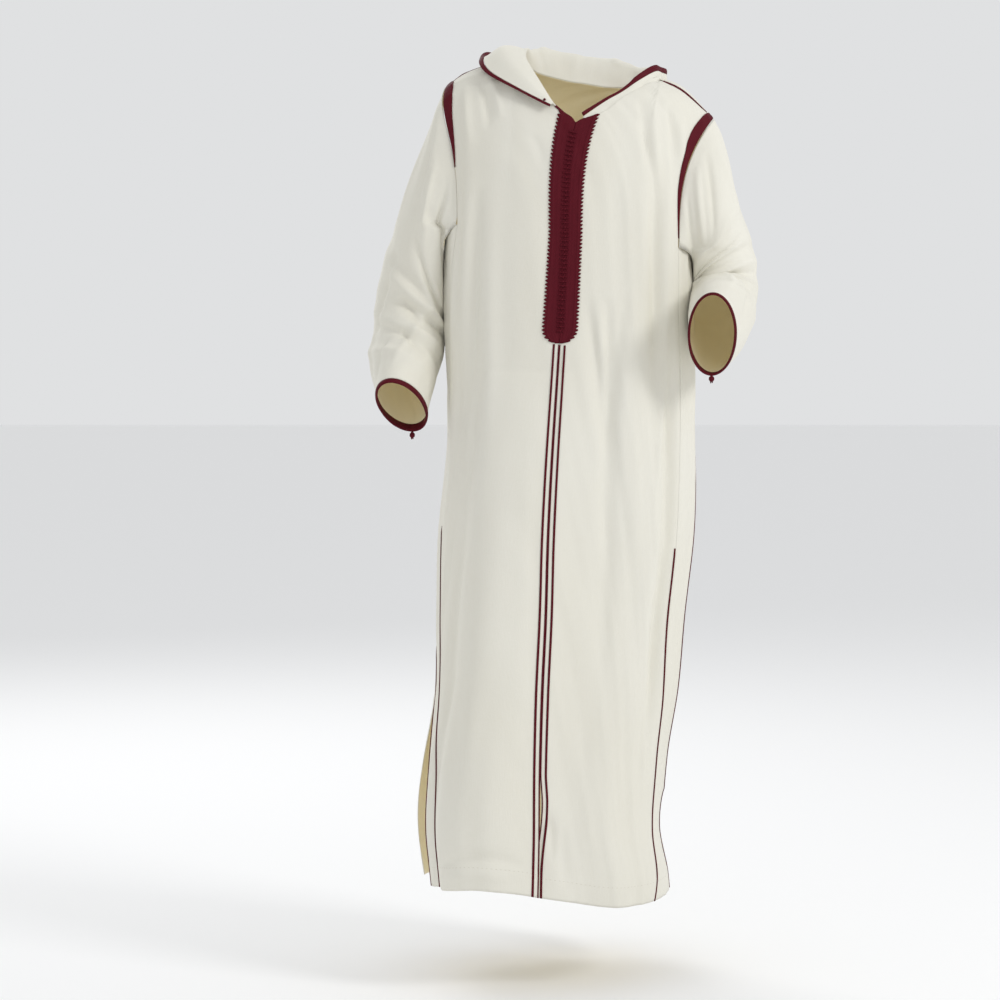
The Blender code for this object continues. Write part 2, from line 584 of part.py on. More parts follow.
for old in list(bpy.data.objects):
    bpy.data.objects.remove(old)
robe = bpy.data.collections.new("djellaba")
bpy.context.scene.collection.children.link(robe)
cream = material("cream_cloth", CREAM, 0.85)
burgundy = material("burgundy_braid", BURGUNDY, 0.75)

# The panels: two fronts, two gores and the back
LOW_RISES = np.linspace(0, 1, 17)
HIGH_RISES = 1 + np.array([0.11, 0.22, 0.33, 0.44, 0.56, 0.67, 0.78, 0.89, 0.9997])
RISES = np.concatenate([LOW_RISES, HIGH_RISES])
left_turns = [SEAM_TURN, 5, 10, 16, 22, 29, 35, 39.5, NECK_LEFT, 49, 55, 60, 65.1, 68.6, FRONT_SEAM - SEAM_TURN]
right_turns = [-FRONT_SEAM + SEAM_TURN, -68.6, -65.1, -60, -55, -49, -43, -37, -NECK_RIGHT, -28, -24.5, -20, -15, -10]
right_turns += [-5, -SEAM_TURN]
back_left = behind(np.array(left_turns[-3:7:-1]))
back_right = behind(np.array(right_turns[8:1:-1]))
back_middle = np.linspace(back_left[-1], back_right[0], 11)[1:-1]
back_turns = np.concatenate([
    [BACK_SEAM + SEAM_TURN], back_left, back_middle, back_right, [360 - BACK_SEAM - SEAM_TURN]
])
front_left = Panel(left_turns, RISES)
front_right = Panel(right_turns, RISES)
back = Panel(back_turns, RISES)
gore_turns = np.array([FRONT_SEAM + SEAM_TURN, 79, 89, 97.4, BACK_SEAM - SEAM_TURN])
gore_left = Panel(gore_turns, LOW_RISES)
gore_right = Panel(-gore_turns[::-1], LOW_RISES)
sheet("front_left", front_left.points, CLOTH, cream)
sheet("front_right", front_right.points, CLOTH, cream)
sheet("back", back.points, CLOTH, cream)
sheet("gore_left", gore_left.points, CLOTH, cream)
sheet("gore_right", gore_right.points, CLOTH, cream)

# The sleeves, open at the cuff, each ending in a bound edge with a knot at its lowest point
ARM_TURNS = np.arange(0, 360, 18)
ARM_STATIONS = np.array([0, 0.06, 0.13, 0.2, 0.28, 0.35, 0.42, 0.48, 0.54, 0.6, 0.66, 0.73, 0.8, 0.88, 0.95, 1.0])
for name, table, creases, side in (
    ("left", LEFT_SLEEVE, LEFT_CREASES, 1),
    ("right", RIGHT_SLEEVE, RIGHT_CREASES, -1),
):
    sleeve = sleeve_shape(table, creases, side, ARM_TURNS, ARM_STATIONS)
    sheet(f"sleeve_{name}", sleeve, CLOTH, cream, closed=True)
    way = unit(sleeve[-1] - sleeve[-2])
    bound = np.stack([sleeve[-1] + way * 0.0005, sleeve[-1] + way * (0.0005 + CUFF_BRAID)])
    sheet(f"cuff_braid_{name}", bound, BRAID * 1.4, burgundy, closed=True)
    lowest = bound[1, np.argmin(bound[1, :, 2])]
    knot(f"cuff_knot_{name}", lowest + (0, 0, -CUFF_KNOT * 1.15 - 0.0011), CUFF_KNOT)

# The hood and the braid along its rim
seam_places = neck_seam()[0]
halfway = (seam_places[1:] + seam_places[:-1]) / 2
HOOD_ALONG = np.sort(np.concatenate([seam_places, halfway[halfway < 0.55]]))
HOOD_DEPTHS = np.array([0, 0.08, 0.16, 0.24, 0.34, 0.44, 0.54, 0.60, 0.66, 0.74, 0.84, 0.93, 1.0])
hood = hood_shape(HOOD_ALONG, HOOD_DEPTHS)
sheet("hood", hood, CLOTH, cream)
rim_way = hood[-1] - hood[-2]
rim_line = unit(np.gradient(hood[-1], axis=0))
rim_way = unit(rim_way - rim_line * np.sum(rim_way * rim_line, axis=-1, keepdims=True))
rim = np.stack([hood[-1] + rim_way * RIM_GAP, hood[-1] + rim_way * (RIM_GAP + RIM_BRAID)])
sheet("hood_braid", rim, BRAID, burgundy)

# The front opening: a toothed braid on each edge, closed by a row of knots
LAID_BRAID = CLOTH / 2 + LAID_GAP + BRAID / 2
steps = np.arange(2 * TEETH + 1) / (2 * TEETH)
tooth = np.where(np.arange(2 * TEETH + 1) % 2 == 0, 0.0006, TOOTH)


def placket_rise(turn, share):
    """Rows from the rounded foot of the braid up to the neckline, level at the foot and along the V at the top."""
    top = body_shape(turn, 2.0)[..., 2]
    return rise_of(turn, blend(PLACKET_FOOT_Z, top, share) - 1e-4)


def placket_width(share):
    """The braid's width: round at the foot, straight, and wider towards the neck."""
    height = share * (body_shape(6.0, 2.0)[..., 2] - PLACKET_FOOT_Z)
    body = PLACKET_WIDTH - TOOTH + PLACKET_FLARE * share**4
    foot = np.clip(1 - height / body, 0, 1)
    return np.maximum(body * np.sqrt(1 - foot * foot), 0.006)


for name, panel, side in (("left", front_left, 1), ("right", front_right, -1)):
    width = placket_width(steps)
    across = np.stack([np.full_like(width, 0.0004), width, width + tooth], axis=-1)
    turn = across / METRES_PER_TURN
    rise = placket_rise(turn, steps[:, None])
    braid = panel.at(side * turn, rise, np.full_like(rise, LAID_BRAID))
    sheet(f"placket_{name}", braid, BRAID, burgundy)

knot_steps = np.linspace(0.045, 0.965, 3 * KNOTS + 1)
knot_across = np.array([-1, 0, 1]) * KNOT_ROW_WIDTH
raised = np.where(np.arange(3 * KNOTS + 1) % 3 == 0, 0.0, KNOT)[:, None] * np.array([0.35, 1, 0.35])
knot_turn, knot_share = np.meshgrid(knot_across / METRES_PER_TURN, knot_steps)
knot_rise = placket_rise(np.abs(knot_turn), knot_share)
row_base = CLOTH / 2 + 2 * LAID_GAP + BRAID + 0.0002


def front_at(turn, rise, out):
    """The point on whichever front panel a turn is on."""
    left = front_left.at(np.maximum(turn, SEAM_TURN), rise, out)
    right = front_right.at(np.minimum(turn, -SEAM_TURN), rise, out)
    return np.where((turn > 0)[..., None], left, right)


relief(
    "closing_knots",
    front_at(knot_turn, knot_rise, row_base + 0.0008 + raised),
    front_at(knot_turn, knot_rise, np.full_like(knot_rise, row_base)),
    burgundy,
)


def metres_per_turn(side, z):
    """How far one turn reaches along the front at a height, which goes with how far round its side seam is."""
    middle = np.arcsin((BODY.at("seam_x", z) - BODY.at("centre_x", z)) / BODY.at("half_width", z))
    seam = np.radians(SEAMS.at("front_left" if side > 0 else "front_right", z))
    return BODY.at("half_width", z) * np.abs(seam - middle) / FRONT_SEAM


def front_cord(name, panel, side, start):
    """A cord down the front, at its distance from the seam at every height."""
    z = panel.at(side * 1.0, cord_rises, 0.0)[:, 2]
    turn = side * (start + np.array([0, CORD])) / metres_per_turn(side, z)[:, None]
    rise = np.repeat(cord_rises[:, None], 2, axis=1)
    out = np.full_like(turn, CLOTH / 2 + LAID_GAP + BRAID / 2)
    return sheet(name, panel.at(turn, rise, out), BRAID, burgundy)


def laid_cord(name, panel, turns, rises):
    """A cord laid flat on a panel: a narrow wall from the panel's own points, moved out."""
    turn, rise = np.meshgrid(turns, rises)
    out = np.full_like(turn, CLOTH / 2 + LAID_GAP + BRAID / 2)
    return sheet(name, panel.at(turn, rise, out), BRAID, burgundy)


# The cords down the front: one on each edge of the seam and one beside it, from the braid's foot to the hem
below = RISES[RISES < rise_of(0.0, PLACKET_FOOT_Z - 0.004)]
cord_rises = np.concatenate([below + 1e-6, [rise_of(0.0, PLACKET_FOOT_Z - 0.0025)]])
cord_turn = CORD / METRES_PER_TURN
for name, panel, side in (("left", front_left, 1), ("right", front_right, -1)):
    for place, start in (("edge", 0.0003), ("outer", CORD_SPACING - CORD / 2)):
        front_cord(f"front_cord_{place}_{name}", panel, side, start)

# The cords along the seams of the gores
for name, front, gore, side in (("left", front_left, gore_left, 1), ("right", front_right, gore_right, -1)):
    inner = side * (FRONT_SEAM - 0.15 - np.array([cord_turn, 0]))
    laid_cord(f"gore_cord_front_{name}", front, np.sort(inner), LOW_RISES[LOW_RISES < SIDE_CORD_TOP])
    outer = side * (BACK_SEAM - 0.2 - np.array([2.2, 0]))
    laid_cord(f"gore_cord_back_{name}", gore, np.sort(outer), LOW_RISES[LOW_RISES < BACK_CORD_TOP])

# The braid round each armhole and the cord along each shoulder seam
for name, front, side in (("left", front_left, 1), ("right", front_right, -1)):
    edge = np.array([0.35, ARMHOLE_BRAID / 2, ARMHOLE_BRAID])
    rises = np.concatenate([[1.004], HIGH_RISES])
    turn, rise = np.meshgrid(side * (FRONT_SEAM - edge), rises)
    fore = front.at(turn, rise, np.full_like(turn, LAID_BRAID))
    start = BACK_SEAM if side > 0 else 360 - BACK_SEAM
    turn, rise = np.meshgrid(start + side * edge, rises[::-1][1:])
    aft = back.at(turn, rise, np.full_like(turn, LAID_BRAID))
    sheet(f"armhole_braid_{name}", np.concatenate([fore, aft]), BRAID, burgundy)
    neck, lift = (NECK_LEFT, LIFT_LEFT) if side > 0 else (NECK_RIGHT, LIFT_RIGHT)
    inner, outer = neck + 1.5, FRONT_SEAM - ARMHOLE_BRAID - 1.2
    turns = np.abs(front.turns)
    turns = side * np.concatenate([[inner], np.sort(turns[(turns > inner) & (turns < outer)]), [outer]])
    turn, rise = np.meshgrid(turns, [1.965, 1.9997])
    fore = front.at(turn, rise, np.zeros_like(turn))
    turn, rise = np.meshgrid(behind(turns) % 360, [1.965])
    aft = back.at(turn, rise, np.zeros_like(turn))
    sheet(f"shoulder_cord_{name}", np.concatenate([fore, aft]) + (0, 0, lift), BRAID, burgundy)
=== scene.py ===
"""The looks of a djellaba as worn: cream cloth, with burgundy braid, cords and knots.

The robe is put together here in a tailor's order: the body's panels, the sleeves, the hood, and then the
braid and cord sewn over the seams. Sizes are in metres and turns in degrees. +Z is up, the front faces
-Y, and left and right are the wearer's, so left is +X.
"""

import math

import bmesh
import bpy
import numpy as np
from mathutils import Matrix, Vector


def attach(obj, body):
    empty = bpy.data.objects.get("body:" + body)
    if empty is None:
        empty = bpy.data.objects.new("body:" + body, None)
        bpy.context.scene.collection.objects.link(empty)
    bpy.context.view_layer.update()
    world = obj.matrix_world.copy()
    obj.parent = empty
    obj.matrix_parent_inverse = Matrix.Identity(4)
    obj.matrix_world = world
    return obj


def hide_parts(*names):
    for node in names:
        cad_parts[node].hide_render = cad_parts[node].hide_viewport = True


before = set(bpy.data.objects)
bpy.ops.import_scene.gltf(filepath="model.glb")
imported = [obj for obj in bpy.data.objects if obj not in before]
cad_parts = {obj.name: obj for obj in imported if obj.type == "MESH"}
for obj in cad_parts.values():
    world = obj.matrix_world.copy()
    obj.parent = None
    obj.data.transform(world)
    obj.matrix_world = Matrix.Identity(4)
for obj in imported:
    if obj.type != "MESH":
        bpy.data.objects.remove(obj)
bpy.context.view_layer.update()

# The room: a plain pale floor that the robe stands clear of, daylight from all round, and two large soft
# lamps. The camera stands 4.8 m in front of the robe, a little to its right, and looks slightly down.
FLOOR_Z = -1.53
FLOOR_HALF = 40.0
FLOOR_PAINT = (0.94, 0.94, 0.94)
DAYLIGHT = (0.98, 0.99, 1.0)
DAYLIGHT_STRENGTH = 0.76
ROBE_MIDDLE = Vector((0, 0, -0.7))
AIM = Vector((-0.131, 0.0, -0.736))
EYE = Vector((-0.131, -4.8, -0.50))
SEEN_WIDTH = 1.68  # what the frame spans at the aim

camera = bpy.data.objects.new("camera", bpy.data.cameras.new("camera"))
bpy.context.scene.collection.objects.link(camera)
camera.location = EYE
camera.rotation_euler = (AIM - EYE).to_track_quat("-Z", "Y").to_euler()
camera.data.lens = camera.data.sensor_width * (AIM - EYE).length / SEEN_WIDTH
bpy.context.scene.camera = camera

floor_mesh = bpy.data.meshes.new("floor")
corners = [(x * FLOOR_HALF, y * FLOOR_HALF, FLOOR_Z) for x, y in ((-1, -1), (1, -1), (1, 1), (-1, 1))]
floor_mesh.from_pydata(corners, [], [(0, 1, 2, 3)])
floor = bpy.data.objects.new("floor", floor_mesh)
bpy.context.scene.collection.objects.link(floor)
paint = bpy.data.materials.new("floor_paint")
paint.use_nodes = True
paint.node_tree.nodes["Principled BSDF"].inputs["Base Color"].default_value = (*FLOOR_PAINT, 1)
paint.node_tree.nodes["Principled BSDF"].inputs["Roughness"].default_value = 0.9
floor_mesh.materials.append(paint)

room = bpy.data.worlds.new("room")
room.use_nodes = True
room.node_tree.nodes["Background"].inputs["Color"].default_value = (*DAYLIGHT, 1)
room.node_tree.nodes["Background"].inputs["Strength"].default_value = DAYLIGHT_STRENGTH
bpy.context.scene.world = room
bpy.context.scene.view_settings.view_transform = "Standard"

LAMPS = {  # each lamp's place, size and watts
    "key": ((3.2, -2.2, 1.8), 1.2, 60),
    "back": ((-1.6, 3.2, 1.9), 2.0, 45),
}
for name, (place, size, watts) in LAMPS.items():
    lamp = bpy.data.lights.new(name, "AREA")
    lamp.size = size
    lamp.energy = watts
    stand = bpy.data.objects.new(name, lamp)
    bpy.context.scene.collection.objects.link(stand)
    stand.location = place
    stand.rotation_euler = (ROBE_MIDDLE - Vector(place)).to_track_quat("-Z", "Y").to_euler()

# The two fronts: each is cut from the shoulder to the hem in one piece of fine cream wool, and they are
# sewn together down the middle below the braid. They hang from the shoulders in long soft folds, and lie
# open at the foot, where the right edge passes over the left one.
CLOTH = 0.0012
HEM_TURNING = 0.037  # the depth of the hem that is folded up inside
# Turns round the body are in degrees by name: 0 at the front seam, and 180 in the middle of the back.
FRONT_SEAM = 70
BACK_SEAM = 100
BACK_MIDDLE = 180
SEAM_TURN = 0.012
NECK_LEFT = 42.7
NECK_RIGHT = 30.7
# Rises up the body are 0 at the hem, 1 at the underarm and 2 at the shoulder seam.
TOP_RISE = 1.9998
UNDERARM_Z = -0.297
SHOULDER_TILT = 0.020
SHOULDER_Y = 0.005
TIP_LEFT = 0.225
TIP_RIGHT = 0.220
NECK_MIDDLE = -0.006
CHEST_ROUND = 0.77
ARMHOLE_CURVE = 3.0
NECK_LEAN = 0.046
TRAPEZE = 0.16
TIP_BULGE = 0.16
RING_ROUND = 2.4
FRONT_SLIT_Z = -1.17
FRONT_SLIT_STEP = 0.0045  # how far the right edge lies in front of the left one
FRONT_SLIT_OPEN = 0.003
FRONT_SLIT_UNDER = 0.009
CREASE_DEPTH = 2.3  # what the heights in the tables of creases are multiplied by on the body
CREASE_AT_SEAM = 0.35
SEAM_DIP = 0.0011
SEAM_DIP_WIDTH = 0.0035
SEAM_STIFF = 0.02  # how far in from a seam the cloth is held still by it
CREAM = (0.83, 0.815, 0.745)
CREAM_DEEP = (0.735, 0.705, 0.600)
# Painted light: the inner faces are the same wool, given a paler, yellower cream and a faint glow to stand in
# for the light that bounces about inside the robe and comes through the cloth.
INSIDE_PAINTED_LIGHT = (0.95, 0.86, 0.60)
INSIDE_PAINTED_LIGHT_DEEP = tuple(0.86 * part for part in INSIDE_PAINTED_LIGHT)
INSIDE_PAINTED_GLOW = 0.05  # how strongly the inner faces glow: painted light, standing in for the light that comes through the thin cloth
WOOL_THREADS = 0.00115  # the step from one pair of threads to the next
WOOL_SHEEN = (1.0, 0.98, 0.93, 1)


class Table:
    """Rows of named columns. at() reads a column at any place along the first, on cubic curves that meet at
    the rows with one value and one slope."""

    def __init__(self, names, rows):
        self.names = names.split()
        self.rows = np.array(rows, float)

    def column(self, name):
        """All of one column's values."""
        return self.rows[:, self.names.index(name)]

    def at(self, name, place):
        known, values = self.rows[:, 0], self.column(name)
        slopes = np.gradient(values, known)
        place = np.clip(place, known[0], known[-1])
        i = np.clip(np.searchsorted(known, place, side="right") - 1, 0, len(known) - 2)
        span = known[i + 1] - known[i]
        u = (place - known[i]) / span
        rising = u * u * (3 - 2 * u)
        out = u * (1 - u) ** 2 * span * slopes[i]
        into = u * u * (u - 1) * span * slopes[i + 1]
        return values[i] * (1 - rising) + values[i + 1] * rising + out + into


BODY = Table("z half_width centre_x centre_y front back seam_x", [
    (-1.42, 0.196, -0.046, -0.010, 0.172, 0.172, -0.069),
    (-1.36, 0.203, -0.048, -0.010, 0.172, 0.170, -0.068),
    (-1.28, 0.201, -0.058, -0.008, 0.170, 0.166, -0.067),
    (-1.17, 0.201, -0.053, -0.005, 0.166, 0.158, -0.066),
    (-1.05, 0.203, -0.036, -0.002, 0.162, 0.150, -0.062),
    (-0.92, 0.206, -0.028, 0.000, 0.157, 0.144, -0.056),
    (-0.79, 0.211, -0.019, 0.002, 0.151, 0.139, -0.052),
    (-0.65, 0.207, -0.012, 0.004, 0.144, 0.135, -0.045),
    (-0.52, 0.206, -0.013, 0.004, 0.138, 0.131, -0.037),
    (-0.42, 0.206, -0.016, 0.003, 0.132, 0.128, -0.031),
    (-0.27, 0.205, -0.020, 0.000, 0.126, 0.124, -0.024),
])
SEAMS = Table("z front_left back_left vent_left front_right back_right vent_right", [
    (-1.42, 58, 87, 4.5, -57, -69, 25),
    (-1.30, 63, 87, 4.0, -55, -67, 22),
    (-1.17, 64, 88, 0.5, -58, -69, 13),
    (-1.03, 58, 89, 0.0, -70, -87, 0),
    (-0.85, 57, 89, 0.0, -80, -104, 0),
    (-0.64, 58, 92, 0.0, -82, -114, 0),
    (-0.50, 60, 100, 0.0, -76, -118, 0),
    (-0.27, 63, 114, 0.0, -61, -118, 0),
])
HEM = Table("turn z", [
    (-180, -1.378), (-130, -1.376), (-90, -1.368), (-60, -1.362), (-35, -1.355), (-10, -1.364), (10, -1.378),
    (32, -1.391), (60, -1.394), (90, -1.388), (130, -1.382), (180, -1.378), (230, -1.376), (260, -1.369),
])
SHOULDER = Table("x z front_drop back_drop", [
    (-0.220, -0.047, 0, 0), (-0.195, -0.029, 0, 0), (-0.158, -0.013, 0, 0), (-0.125, -0.003, 0, 0),
    (-0.100, 0.002, 0, 0), (-0.085, 0.000, 0.034, 0.008), (-0.060, -0.005, 0.064, 0.014),
    (-0.030, -0.010, 0.087, 0.017), (-0.012, -0.013, 0.0955, 0.018), (-0.006, -0.014, 0.1005, 0.018),
    (0.000, -0.015, 0.0955, 0.018), (0.020, -0.018, 0.084, 0.018),
    (0.050, -0.023, 0.063, 0.018), (0.085, -0.028, 0.038, 0.015), (0.120, -0.032, 0.012, 0.006),
    (0.135, -0.037, 0, 0), (0.171, -0.054, 0, 0), (0.205, -0.082, 0, 0), (0.225, -0.100, 0, 0),
])
BODY_FOLDS = Table("top_z top_turn foot_z foot_turn width height", [
    (-0.52, -26, -2.10, -36, 0.095, 0.066),
    (-0.60, 150, -2.10, 152, 0.110, 0.050),
    (-0.12, -62, -0.80, -76, 0.016, 0.006),
    (-0.22, -47, -1.90, -58, 0.020, -0.011),
    (-0.44, 52, -1.20, 48, 0.013, -0.008),
    (-0.42, 60, -1.15, 57, 0.015, 0.004),
    (-0.18, 43, -0.64, 42, 0.018, -0.009),
    (-0.40, 15, -0.72, 16, 0.014, -0.006),
    (-0.38, 28, -0.90, 30, 0.020, 0.006),
    (-0.66, 14, -1.15, 18, 0.018, -0.004),
    (-1.02, -29, -1.50, -30, 0.018, -0.005),
    (-0.90, 30, -1.80, 33, 0.030, 0.008),
    (-0.36, 133, -1.90, 128, 0.022, 0.010),
    (-0.42, 160, -1.90, 166, 0.024, -0.012),
    (-0.36, 186, -1.90, 190, 0.024, 0.011),
    (-0.45, 206, -1.90, 212, 0.022, -0.011),
    (-0.38, 228, -1.80, 232, 0.020, 0.009),
    (-1.05, 252, -1.60, 256, 0.022, 0.004),
    (-1.22, 86, -1.39, 86, 0.050, -0.008),
])

# Creases of the fronts, each from one place to another across the robe and up it. bow moves its middle
# sideways, width is its half width, a positive height is a ridge, and skew makes one side steeper.
CREASE = "x0 z0 x1 z1 bow width height skew"
FRONT_CREASES = Table(CREASE, [
    (-0.182, -0.075, -0.204, -0.560, 0.006, 0.010, 0.0022, 0.3),
    (-0.166, -0.215, -0.200, -0.720, 0.004, 0.011, -0.0026, -0.4),
    (-0.190, -0.620, -0.206, -1.050, -0.004, 0.014, -0.0024, -0.3),
    (-0.150, -0.300, -0.165, -0.900, 0.006, 0.020, 0.0014, 0.0),
    (-0.120, -0.180, -0.128, -0.620, -0.005, 0.018, -0.0011, 0.2),
    (-0.100, -0.520, -0.120, -1.180, 0.006, 0.022, -0.0013, 0.0),
    (-0.140, -0.820, -0.150, -1.300, -0.006, 0.016, 0.0014, 0.3),
    (-0.178, -0.980, -0.190, -1.330, 0.004, 0.012, -0.0016, 0.0),
    (-0.070, -0.640, -0.082, -1.150, 0.003, 0.011, -0.0008, 0.0),
    (0.121, -0.240, 0.131, -0.560, 0.003, 0.013, -0.0030, 0.4),
    (0.146, -0.160, 0.150, -0.520, -0.004, 0.009, 0.0018, 0.0),
    (0.095, -0.140, 0.108, -0.500, 0.006, 0.016, 0.0014, 0.0),
    (0.060, -0.180, 0.070, -0.420, -0.004, 0.014, -0.0009, 0.0),
    (0.010, -0.400, 0.034, -0.640, 0.004, 0.010, -0.0026, -0.3),
    (0.030, -0.395, 0.046, -0.560, -0.003, 0.008, 0.0018, 0.2),
    (0.046, -0.400, 0.040, -0.660, 0.005, 0.009, -0.0022, 0.3),
    (0.073, -0.395, 0.058, -0.600, -0.004, 0.009, -0.0020, 0.0),
    (0.058, -0.470, 0.070, -0.760, 0.003, 0.011, 0.0014, 0.0),
    (0.038, -0.600, 0.042, -0.980, 0.004, 0.012, -0.0020, 0.2),
    (0.082, -0.640, 0.084, -1.120, -0.005, 0.016, -0.0012, 0.0),
    (0.110, -0.560, 0.106, -1.000, 0.004, 0.012, 0.0014, 0.0),
    (0.160, -0.500, 0.126, -0.800, -0.004, 0.008, -0.0034, 0.5),
    (0.146, -0.560, 0.120, -0.940, -0.003, 0.007, 0.0024, -0.4),
    (0.128, -0.780, 0.112, -1.160, 0.003, 0.009, -0.0022, 0.3),
    (0.020, -0.860, 0.010, -1.320, 0.006, 0.016, 0.0012, 0.0),
    (0.064, -0.960, 0.070, -1.370, -0.005, 0.018, -0.0014, 0.0),
    (-0.205, -1.325, -0.088, -1.318, 0.016, 0.009, -0.0026, 0.3),
    (-0.190, -1.345, -0.110, -1.336, 0.012, 0.008, 0.0016, 0.0),
    (-0.057, -1.230, -0.044, -1.320, 0.003, 0.006, -0.0022, 0.3),
    (-0.030, -1.260, -0.020, -1.370, -0.003, 0.008, -0.0014, 0.0),
    (-0.166, -0.036, -0.150, -0.125, 0.004, 0.007, -0.0022, 0.3),
    (-0.150, -0.030, -0.128, -0.110, 0.003, 0.006, 0.0016, 0.0),
    (-0.186, -0.040, -0.180, -0.150, -0.003, 0.007, 0.0018, 0.0),
    (0.098, -0.070, 0.112, -0.200, 0.003, 0.007, -0.0022, 0.2),
    (0.120, -0.070, 0.132, -0.230, -0.003, 0.007, 0.0018, 0.0),
    (0.146, -0.075, 0.152, -0.190, 0.002, 0.006, -0.0018, 0.3),
    (0.168, -0.100, 0.160, -0.220, 0.003, 0.007, 0.0014, 0.0),
    (-0.080, -0.130, -0.060, -0.190, 0.004, 0.009, -0.0010, 0.0),
])
# Waves so low and long that they only break up the light: their length across, along, height and start.
UNEVEN = Table("across along height start", [
    (0.061, 0.310, 0.00034, 0.3), (0.043, 0.190, 0.00024, 1.9), (0.093, 0.230, 0.00040, 4.1),
    (0.029, 0.140, 0.00013, 2.6), (0.137, 0.110, 0.00030, 5.2), (0.022, 0.410, 0.00010, 0.9),
])


def blend(low, high, share):
    """A straight line from low, at a share of 0, to high, at 1."""
    return low + (high - low) * share


def ease(share):
    """A smooth step: three times the square less twice the cube, held at 0 and at 1."""
    share = np.clip(share, 0, 1)
    return share * share * (3 - 2 * share)


def unit(vectors):
    """Vectors divided by their lengths."""
    return vectors / np.maximum(np.linalg.norm(vectors, axis=-1, keepdims=True), 1e-12)


def normals_of(points):
    """The unit normals of a grid of points: the cross of its way along a row and its way along a column."""
    return unit(np.cross(np.gradient(points, axis=1), np.gradient(points, axis=0)))


def run_of(points, axis=0):
    """The length run along the rows or columns of a grid, summed from its first one."""
    steps = np.linalg.norm(np.diff(points, axis=axis), axis=-1)
    start = np.zeros_like(steps.take([0], axis))
    return np.concatenate([start, np.cumsum(steps, axis=axis)], axis=axis)


def true_turn(turn, z, back_panel):
    """A turn named by its seams made the real one at this height, by even steps between the seams."""
    left_vent, right_vent = (
        np.clip(SEAMS.at(f"vent_{side}", z), 0, None) * back_panel for side in ("left", "right")
    )
    middle = np.degrees(np.arcsin((BODY.at("seam_x", z) - BODY.at("centre_x", z)) / BODY.at("half_width", z)))
    left, left_back = SEAMS.at("front_left", z), SEAMS.at("back_left", z) + left_vent
    right, right_back = SEAMS.at("front_right", z), SEAMS.at("back_right", z) - right_vent
    turn = np.where(turn > BACK_MIDDLE, turn - 360, turn)
    gore, rear = BACK_SEAM - FRONT_SEAM, BACK_MIDDLE - BACK_SEAM
    on_left = np.select(
        [turn <= FRONT_SEAM, turn <= BACK_SEAM],
        [blend(middle, left, turn / FRONT_SEAM), blend(left, left_back, (turn - FRONT_SEAM) / gore)],
        blend(left_back, BACK_MIDDLE, (turn - BACK_SEAM) / rear),
    )
    on_right = np.select(
        [-turn <= FRONT_SEAM, -turn <= BACK_SEAM],
        [blend(middle, right, -turn / FRONT_SEAM), blend(right, right_back, (-turn - FRONT_SEAM) / gore)],
        blend(right_back, -BACK_MIDDLE, (-turn - BACK_SEAM) / rear),
    )
    return np.where(turn >= 0, on_left, on_right)


def section(turn, z):
    """A point of the body's level section: x follows the sine of the turn, and y a superellipse over it."""
    across, along = np.sin(np.radians(turn)), np.cos(np.radians(turn))
    bulge = np.clip(1 - np.abs(across) ** RING_ROUND, 0, None) ** (1 / RING_ROUND)
    depth = np.where(along > 0, -BODY.at("front", z), BODY.at("back", z))
    x = BODY.at("centre_x", z) + BODY.at("half_width", z) * across
    return np.stack([x, BODY.at("centre_y", z) + depth * bulge, z], axis=-1)


def underarm_z(turn):
    """The height of the underarm's level, tilted across the body as the shoulders are."""
    return UNDERARM_Z - SHOULDER_TILT * np.sin(np.radians(turn))


def shoulder_share(turn):
    """How far a turn lies out along the shoulder seam, from -1 at the right tip to 1 at the left one."""
    return np.where(
        np.abs(turn) <= FRONT_SEAM, turn / FRONT_SEAM, (BACK_MIDDLE - turn) / (BACK_MIDDLE - BACK_SEAM)
    )


def seam_point(turn):
    """The point of the shoulder seam, or of its line across the neck, that a turn runs up to."""
    share = shoulder_share(turn)
    tip = np.where(share > 0, TIP_LEFT, TIP_RIGHT)
    x = NECK_MIDDLE * (1 - np.abs(share)) + share * tip
    return np.stack([x, np.full_like(x, SHOULDER_Y), SHOULDER.at("z", x)], axis=-1)


def behind(turn):
    """The turn on the back that meets a front turn at the shoulder seam."""
    return BACK_MIDDLE - turn * (BACK_MIDDLE - BACK_SEAM) / FRONT_SEAM


def last_lean(turn, foot_z):
    """The lean of the cloth at its top edge: a right angle at the shoulder seam, and less at the neckline."""
    top = seam_point(turn)
    drops = [np.clip(SHOULDER.at(name, top[..., 0]), 0, None) for name in ("front_drop", "back_drop")]
    drop = np.where(np.abs(turn) <= FRONT_SEAM, *drops)
    height = np.clip(1 - drop / (top[..., 2] - foot_z), 0, 1)
    return np.arcsin(height ** (1 / CHEST_ROUND))


